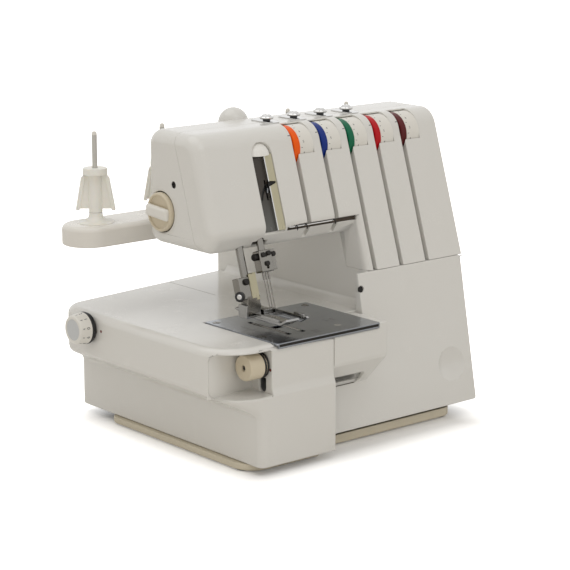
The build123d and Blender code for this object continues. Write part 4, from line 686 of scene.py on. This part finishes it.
spools = {"first": -29.0, "pitch": 77.5, "y": 212.0, "facing": math.radians(230.0), "finThick": 4.2, "wingThick": 1.4,
          "pin": [(0, 187.2), (2.6, 187.2), (2.6, 252.4), (2.4, 252.8), (2.4, 282.6), (0, 282.6)],
          "tip": [(0, 282.6), (2.38, 282.6), (2.3, 283.8), (1.9, 285.2), (1.2, 285.9), (0, 286.0)],
          "foot": [(0, 201.0), (16.8, 201.0), (16.9, 201.4), (12.6, 202.2), (9.4, 203.4), (7.4, 205.2), (6.5, 207.4), (6.3, 210.3),
                   (0, 210.4)],
          "tube": [(2.75, 210.6), (6.0, 210.6), (6.3, 211.2), (6.3, 247.0), (10.6, 247.2), (11.2, 246.0), (11.5, 246.4),
                   (11.3, 251.2), (10.8, 252.0), (2.75, 252.0), (2.75, 210.6)],
          "fin": [(14.6, 213.4), (15.2, 212.0), (17.9, 212.0), (18.4, 213.0), (13.0, 243.6), (11.6, 244.4), (9.0, 244.4),
                  (9.6, 240.0)],
          "wing": [(5.0, 213.6), (16.0, 213.6), (10.4, 246.9), (5.0, 246.9)],
          "shell": [(17.4, 213.4), (11.2, 246.8), (10.0, 246.8), (16.2, 213.4), (17.4, 213.4)]}
c = spools
ahead = Vector((math.cos(c["facing"]), math.sin(c["facing"]), 0.0))
pinParts, tipParts, footParts, holderParts, webParts = [], [], [], [], []
for index in range(5):
    base = at(c["first"] + index * c["pitch"], c["y"], 0.0)
    pinParts.append(lathe(c["pin"], base, zUp, 32))
    tipParts.append(lathe(c["tip"], base, zUp, 32))
    footParts.append(lathe(c["foot"], base, zUp))
    holderParts.append(lathe(c["tube"], base, zUp))
    for turn in (0.0, math.pi):                         # a fin and a thin wing on either side of the tube
        aim = Matrix.Translation(base) @ Matrix.Rotation(c["facing"] + math.pi / 2 + turn, 4, "Z")
        aim = aim @ Matrix.Rotation(math.pi / 2, 4, "X")
        fin = prism(c["fin"], c["finThick"], 0.6, 2)
        holderParts.append(moved(fin, aim @ Matrix.Translation((0, 0, -mm(c["finThick"] / 2)))))
        wing = prism(c["wing"], c["wingThick"], 0.2, 1)
        webParts.append(moved(wing, aim @ Matrix.Translation((0, 0, -mm(c["wingThick"] / 2)))))
    web = lathe(c["shell"], base, zUp, 64)
    bmesh.ops.bisect_plane(web, geom=web.verts[:] + web.edges[:] + web.faces[:], plane_co=base, plane_no=ahead, clear_outer=True)
    bmesh.ops.holes_fill(web, edges=[e for e in web.edges if e.is_boundary], sides=0)
    webParts.append(web)
keep(joined(pinParts), "pinRods", "machine", "pinGrey", stands="spool_pins")
keep(joined(tipParts), "pinTips", "machine", "knobPlastic")
keep(joined(footParts), "pinFeet", "machine", "conePlastic")
keep(joined(holderParts), "coneHolders", "machine", "conePlastic", stands="cone_holders", smooth=34.0)
keep(joined(webParts), "coneWebs", "machine", "conePlastic", smooth=34.0)
print("spools made")

# Needle clamp, ankle and foot

clampPlace = leanFrame(54.0, 50.0, 176.0)
clampBoxes = (((1.0, 7.0, 12.0), (7.6, 1.0, 3.5)), ((4.6, 1.0, 18.5), (10.0, -2.6, 0.6)), ((5.2, 5.0, 1.2), (9.6, -0.4, -8.6)))
sideGuide = joined([moved(box(size, centre, 0.3, 2), clampPlace) for size, centre in clampBoxes])
keep(sideGuide, "clampGuide", "needle", "groundSteel")
clampHead = [(0, 1.9), (1.9, 1.9), (2.3, 1.5), (2.3, 0), (0, 0)]
clampEnd = [(0, 4.0), (2.6, 4.0), (3.2, 3.4), (3.2, 0), (0, 0)]
screwParts = []
for x, y, z in ((-3.4, -5.5, 5.6), (-0.4, -5.5, -2.6), (3.0, -5.5, 6.4), (10.0, -3.1, 5.2)):
    head = lathe(clampHead, origin0, (0, -1, 0), 28)
    screwParts.append(moved(head, clampPlace @ Matrix.Translation((mm(x), mm(y), mm(z)))))
endSpot = clampPlace @ Matrix.Translation((-mm(7.0), 0, mm(4.6)))
screwParts.append(moved(lathe(clampEnd, origin0, (-1, 0, 0), 28), endSpot))
keep(joined(screwParts), "clampScrewHeads", "needle", "darkScrew", stands="clamp_screws")
footRaise = Vector((0, mm(2.591), mm(8.095)))          # the foot is drawn lifted, as the CAD has it
anklePlace = Matrix.Translation(footRaise) @ leanFrame(31.0, 56.0, 146.0)
ankleBoxes = (((3.4, 9.4, 25.0), (10.0, -0.6, 0.5)), ((8.0, 1.2, 22.0), (7.0, -5.2, 1.0)))
plateRight = joined([moved(box(size, centre, 0.4, 2), anklePlace) for size, centre in ankleBoxes])
keep(plateRight, "anklePlate", "presser", "guardOlive")
ankleHead = lathe([(0, 2.2), (2.4, 2.2), (3.0, 1.7), (3.1, 0), (0, 0)], origin0, (0, -1, 0), 32)
moved(ankleHead, anklePlace @ Matrix.Translation((mm(-0.6), -mm(5.0), mm(5.6))))
headSlot = moved(box((4.8, 0.5, 0.8), (-0.6, -7.25, 5.6)), anklePlace)
keep(joined([ankleHead, headSlot]), "ankleScrew", "presser", "darkScrew")
ankleKnob = {"aim": Vector((-1, -0.6, 0)).normalized(), "long": 5.4,
             "grip": [(0, 0), (2.8, 0), (3.0, 1.2), (4.4, 1.8), (4.7, 4.6), (4.1, 5.4), (0, 5.4)],
             "end": [(0, 0.5), (2.0, 0.4), (2.4, 0), (0, 0)]}
k = ankleKnob
knobRoot = anklePlace @ Vector((mm(-7.6), -mm(3.6), -mm(6.0)))
knobBlack = moved(lathe(k["grip"], origin0, k["aim"], 32), Matrix.Translation(knobRoot))
keep(knobBlack, "ankleKnob", "presser", "blackPlastic")
knobEnd = moved(lathe(k["end"], origin0, k["aim"], 32), Matrix.Translation(knobRoot + k["aim"] * mm(k["long"])))
keep(knobEnd, "ankleKnobEnd", "presser", "brightChrome")
footExtra = joined([slab(35.0, 37.2, 22.0, 60.0, 121.4, 124.6, 0.5, 2), slab(47.0, 57.0, 56.5, 66.0, 121.4, 125.6, 0.8, 2),
                    slab(38.4, 48.6, 20.0, 50.0, 121.4, 122.6, 0.5, 2), slab(58.8, 60.9, 16.0, 30.0, 121.4, 127.4, 0.8, 2)])
keep(moved(footExtra, Matrix.Translation(footRaise)), "footRails", "foot", "footChrome")
print("needle area made")

# Plate marks, seams and holes

plateMarks = ((72.0, 12.0, 7.0, 0.5), (72.0, 15.5, 7.0, 0.5), (72.0, 19.0, 7.0, 0.5), (104.0, 40.0, 0.5, 9.0),
              (112.0, 40.0, 0.5, 9.0), (30.0, 60.0, 0.5, 24.0))
marks = [slab(x - lx / 2, x + lx / 2, y - ly / 2, y + ly / 2, plateTop, plateTop + 0.03) for x, y, lx, ly in plateMarks]
keep(joined(marks), "plateLines", "machine", "darkScrew", weighted=False)
dish = [(3.4, 0.04), (3.0, 0.16), (2.4, 0.04), (0, -0.02), (0, -0.1), (3.4, -0.1), (3.4, 0.04)]
dishes = [lathe(dish, at(x, y, plateTop), zUp, 32) for x, y in ((101.0, 20.0), (88.0, 62.0))]
keep(slab(17.2, 134.8, 1.5, 1.62, 115.2, 117.5), "plateLip", "machine", "darkScrew", weighted=False)
coverSeam = {"x": (167.0, 287.0), "z": 152.2, "deep": 0.35, "radius": 0.4}
q = coverSeam
seamLine = [(x, frontY(q["z"]) + q["deep"], q["z"]) for x in q["x"]]
keep(wire(seamLine, q["radius"], False), "coverSeam", "machine", "seamShade", weighted=False)
keep(joined(dishes), "plateDishes", "machine", "brightChrome")
keep(slab(89.7, 90.2, 185.0, 260.0, 117.9, 118.04), "bedSeam", "machine", "seamShade", weighted=False)
flankSlit = {"y": 208.0, "z": 72.0, "long": 23.0, "drop": 8.5, "steps": 8, "radius": 0.28}
q = flankSlit
flank = []
for n in range(q["steps"] + 1):
    share = n / q["steps"]
    place = touch("bed_cover", (-90.0, q["y"] + q["long"] * share, q["z"] - q["drop"] * share), (1, 0, 0))[0]
    flank.append(tuple(place * 1000.0 + bedCorner))
keep(wire(flank, q["radius"]), "flankSlit", "machine", "seamShade", weighted=False)
grooveLine = {"x": (84.0, 131.5), "deep": 0.9, "radius": 0.45}
q = grooveLine
lowLine = [(x, coverY(fingerGroove["z0"]) + q["deep"], fingerGroove["z0"]) for x in q["x"]]
keep(wire(lowLine, q["radius"], False), "grooveLine", "cover", "seamShade", weighted=False)
coverHole = {"x": 153.5, "z": 139.0, "probeX": 158.5, "radius": 3.1, "sunk": 1.8}
q = coverHole
place, normal = touch("looper_cover", (q["probeX"], 0.0, q["z"]), (0, 1, 0))
plugProfile = [(0, 0.4), (q["radius"], 0.4), (q["radius"], 0), (0, 0)]
holePlug = lathe(plugProfile, origin0, normal, 32)
holeX = at(q["x"], 0, 0).x
holeSpot = Vector((holeX, place.y + (holeX - place.x) * -normal.x / normal.y, at(0, 0, q["z"]).z))
moved(holePlug, Matrix.Translation(holeSpot - normal * mm(q["sunk"])))
keep(holePlug, "coverHole", "cover", "deepShade", weighted=False)
print("small marks made")


# Camera, floor and light

view = {"eye": (-1.2214, -1.4696, 0.5721), "look": (0.6263, 0.7464, -0.2250), "lens": 129.5}
camData = bpy.data.cameras.new("photoView")
camData.lens = view["lens"]
camData.sensor_width = 36.0
camData.sensor_fit = "HORIZONTAL"
camData.clip_end = 20.0
camera = bpy.data.objects.new("photoView", camData)
camera.location = view["eye"]
camera.rotation_euler = Vector(view["look"]).to_track_quat("-Z", "Y").to_euler()
bpy.context.scene.collection.objects.link(camera)
bpy.context.scene.camera = camera

stage = {"floor": 6.0, "shade": "f4f3f1", "near": 0.1, "far": 1.0, "half": (0.125, 0.115, 0.0), "centre": (0.0, -0.012, 0.0),
         "edge0": 0.0, "edge1": 0.055, "ambient": 0.6, "ambientTint": "f7f2ea", "aim": (0.0, 0.0, 0.12)}
floorBm = bmesh.new()
bmesh.ops.create_grid(floorBm, x_segments=2, y_segments=2, size=stage["floor"])
floorMesh = bpy.data.meshes.new("paleFloor")
floorBm.to_mesh(floorMesh)
floorBm.free()
floorObj = bpy.data.objects.new("paleFloor", floorMesh)
bpy.context.scene.collection.objects.link(floorObj)
floorMat = bpy.data.materials.new("paleFloor")
floorMat.use_nodes = True
floorTree = floorMat.node_tree
floorShader = floorTree.nodes["Principled BSDF"]
floorShader.inputs["Base Color"].default_value = tone(stage["shade"])
floorShader.inputs["Roughness"].default_value = 0.7
floorShader.inputs["Emission Color"].default_value = (1.0, 1.0, 1.0, 1.0)
seen = floorTree.nodes.new("ShaderNodeLightPath")
where = floorTree.nodes.new("ShaderNodeTexCoord")
inside = where.outputs["Object"]                       # distance from the pan's footprint
footprintSteps = (("SUBTRACT", stage["centre"]), ("ABSOLUTE", None), ("SUBTRACT", stage["half"]), ("MAXIMUM", (0.0, 0.0, 0.0)))
for step, value in footprintSteps:
    node = floorTree.nodes.new("ShaderNodeVectorMath")
    node.operation = step
    link(floorTree, inside, node.inputs[0])
    if value:
        node.inputs[1].default_value = value
    inside = node.outputs["Vector"]
reach = floorTree.nodes.new("ShaderNodeVectorMath")
reach.operation = "LENGTH"
link(floorTree, inside, reach.inputs[0])
fade = floorTree.nodes.new("ShaderNodeMapRange")
fade.inputs["From Min"].default_value = stage["edge0"]
fade.inputs["From Max"].default_value = stage["edge1"]
fade.inputs["To Min"].default_value = stage["near"]
fade.inputs["To Max"].default_value = stage["far"]
link(floorTree, reach.outputs["Value"], fade.inputs["Value"])
lift = floorTree.nodes.new("ShaderNodeMath")
lift.operation = "MULTIPLY"
link(floorTree, seen.outputs["Is Camera Ray"], lift.inputs[0])
link(floorTree, fade.outputs["Result"], lift.inputs[1])
link(floorTree, lift.outputs["Value"], floorShader.inputs["Emission Strength"])
floorMesh.materials.append(floorMat)

world = bpy.data.worlds.new("softStudio")
bpy.context.scene.world = world
world.use_nodes = True
worldTree = world.node_tree
ambient = worldTree.nodes["Background"]
ambient.inputs["Color"].default_value = tone(stage["ambientTint"])
ambient.inputs["Strength"].default_value = stage["ambient"]
plain = worldTree.nodes.new("ShaderNodeBackground")
plain.inputs["Color"].default_value = (1.0, 1.0, 1.0, 1.0)
plain.inputs["Strength"].default_value = 1.0
pathNode = worldTree.nodes.new("ShaderNodeLightPath")
either = worldTree.nodes.new("ShaderNodeMath")
either.operation = "MAXIMUM"
link(worldTree, pathNode.outputs["Is Camera Ray"], either.inputs[0])
link(worldTree, pathNode.outputs["Is Transmission Ray"], either.inputs[1])
glossToo = worldTree.nodes.new("ShaderNodeMath")
glossToo.operation = "MAXIMUM"
link(worldTree, either.outputs["Value"], glossToo.inputs[0])
link(worldTree, pathNode.outputs["Is Glossy Ray"], glossToo.inputs[1])
pick = worldTree.nodes.new("ShaderNodeMixShader")
link(worldTree, glossToo.outputs["Value"], pick.inputs["Fac"])
link(worldTree, ambient.outputs["Background"], pick.inputs[1])
link(worldTree, plain.outputs["Background"], pick.inputs[2])
link(worldTree, pick.outputs["Shader"], worldTree.nodes["World Output"].inputs["Surface"])

lamps = {
    "keySoft": {"place": (-0.2, -1.2, 1.9), "size": 1.5, "power": 5.0, "tint": "fafcff"},
    "topSoft": {"place": (-0.4, 0.4, 1.7), "size": 1.6, "power": 5.6, "tint": "fafcff"},
    "lowFill": {"place": (-0.9, -0.8, 0.06), "size": 0.6, "power": 0.5, "tint": "fff1df"},
}
for lampName, spec in lamps.items():
    lampData = bpy.data.lights.new(lampName, "AREA")
    lampData.shape = "DISK"
    lampData.size = spec["size"]
    lampData.energy = spec["power"]
    lampData.color = tone(spec["tint"])[:3]
    lamp = bpy.data.objects.new(lampName, lampData)
    lamp.location = spec["place"]
    toPart = Vector(stage["aim"]) - Vector(spec["place"])
    lamp.rotation_euler = toPart.to_track_quat("-Z", "Y").to_euler()
    bpy.context.scene.collection.objects.link(lamp)
bpy.context.scene.view_settings.view_transform = "Standard"
print("camera and light set")
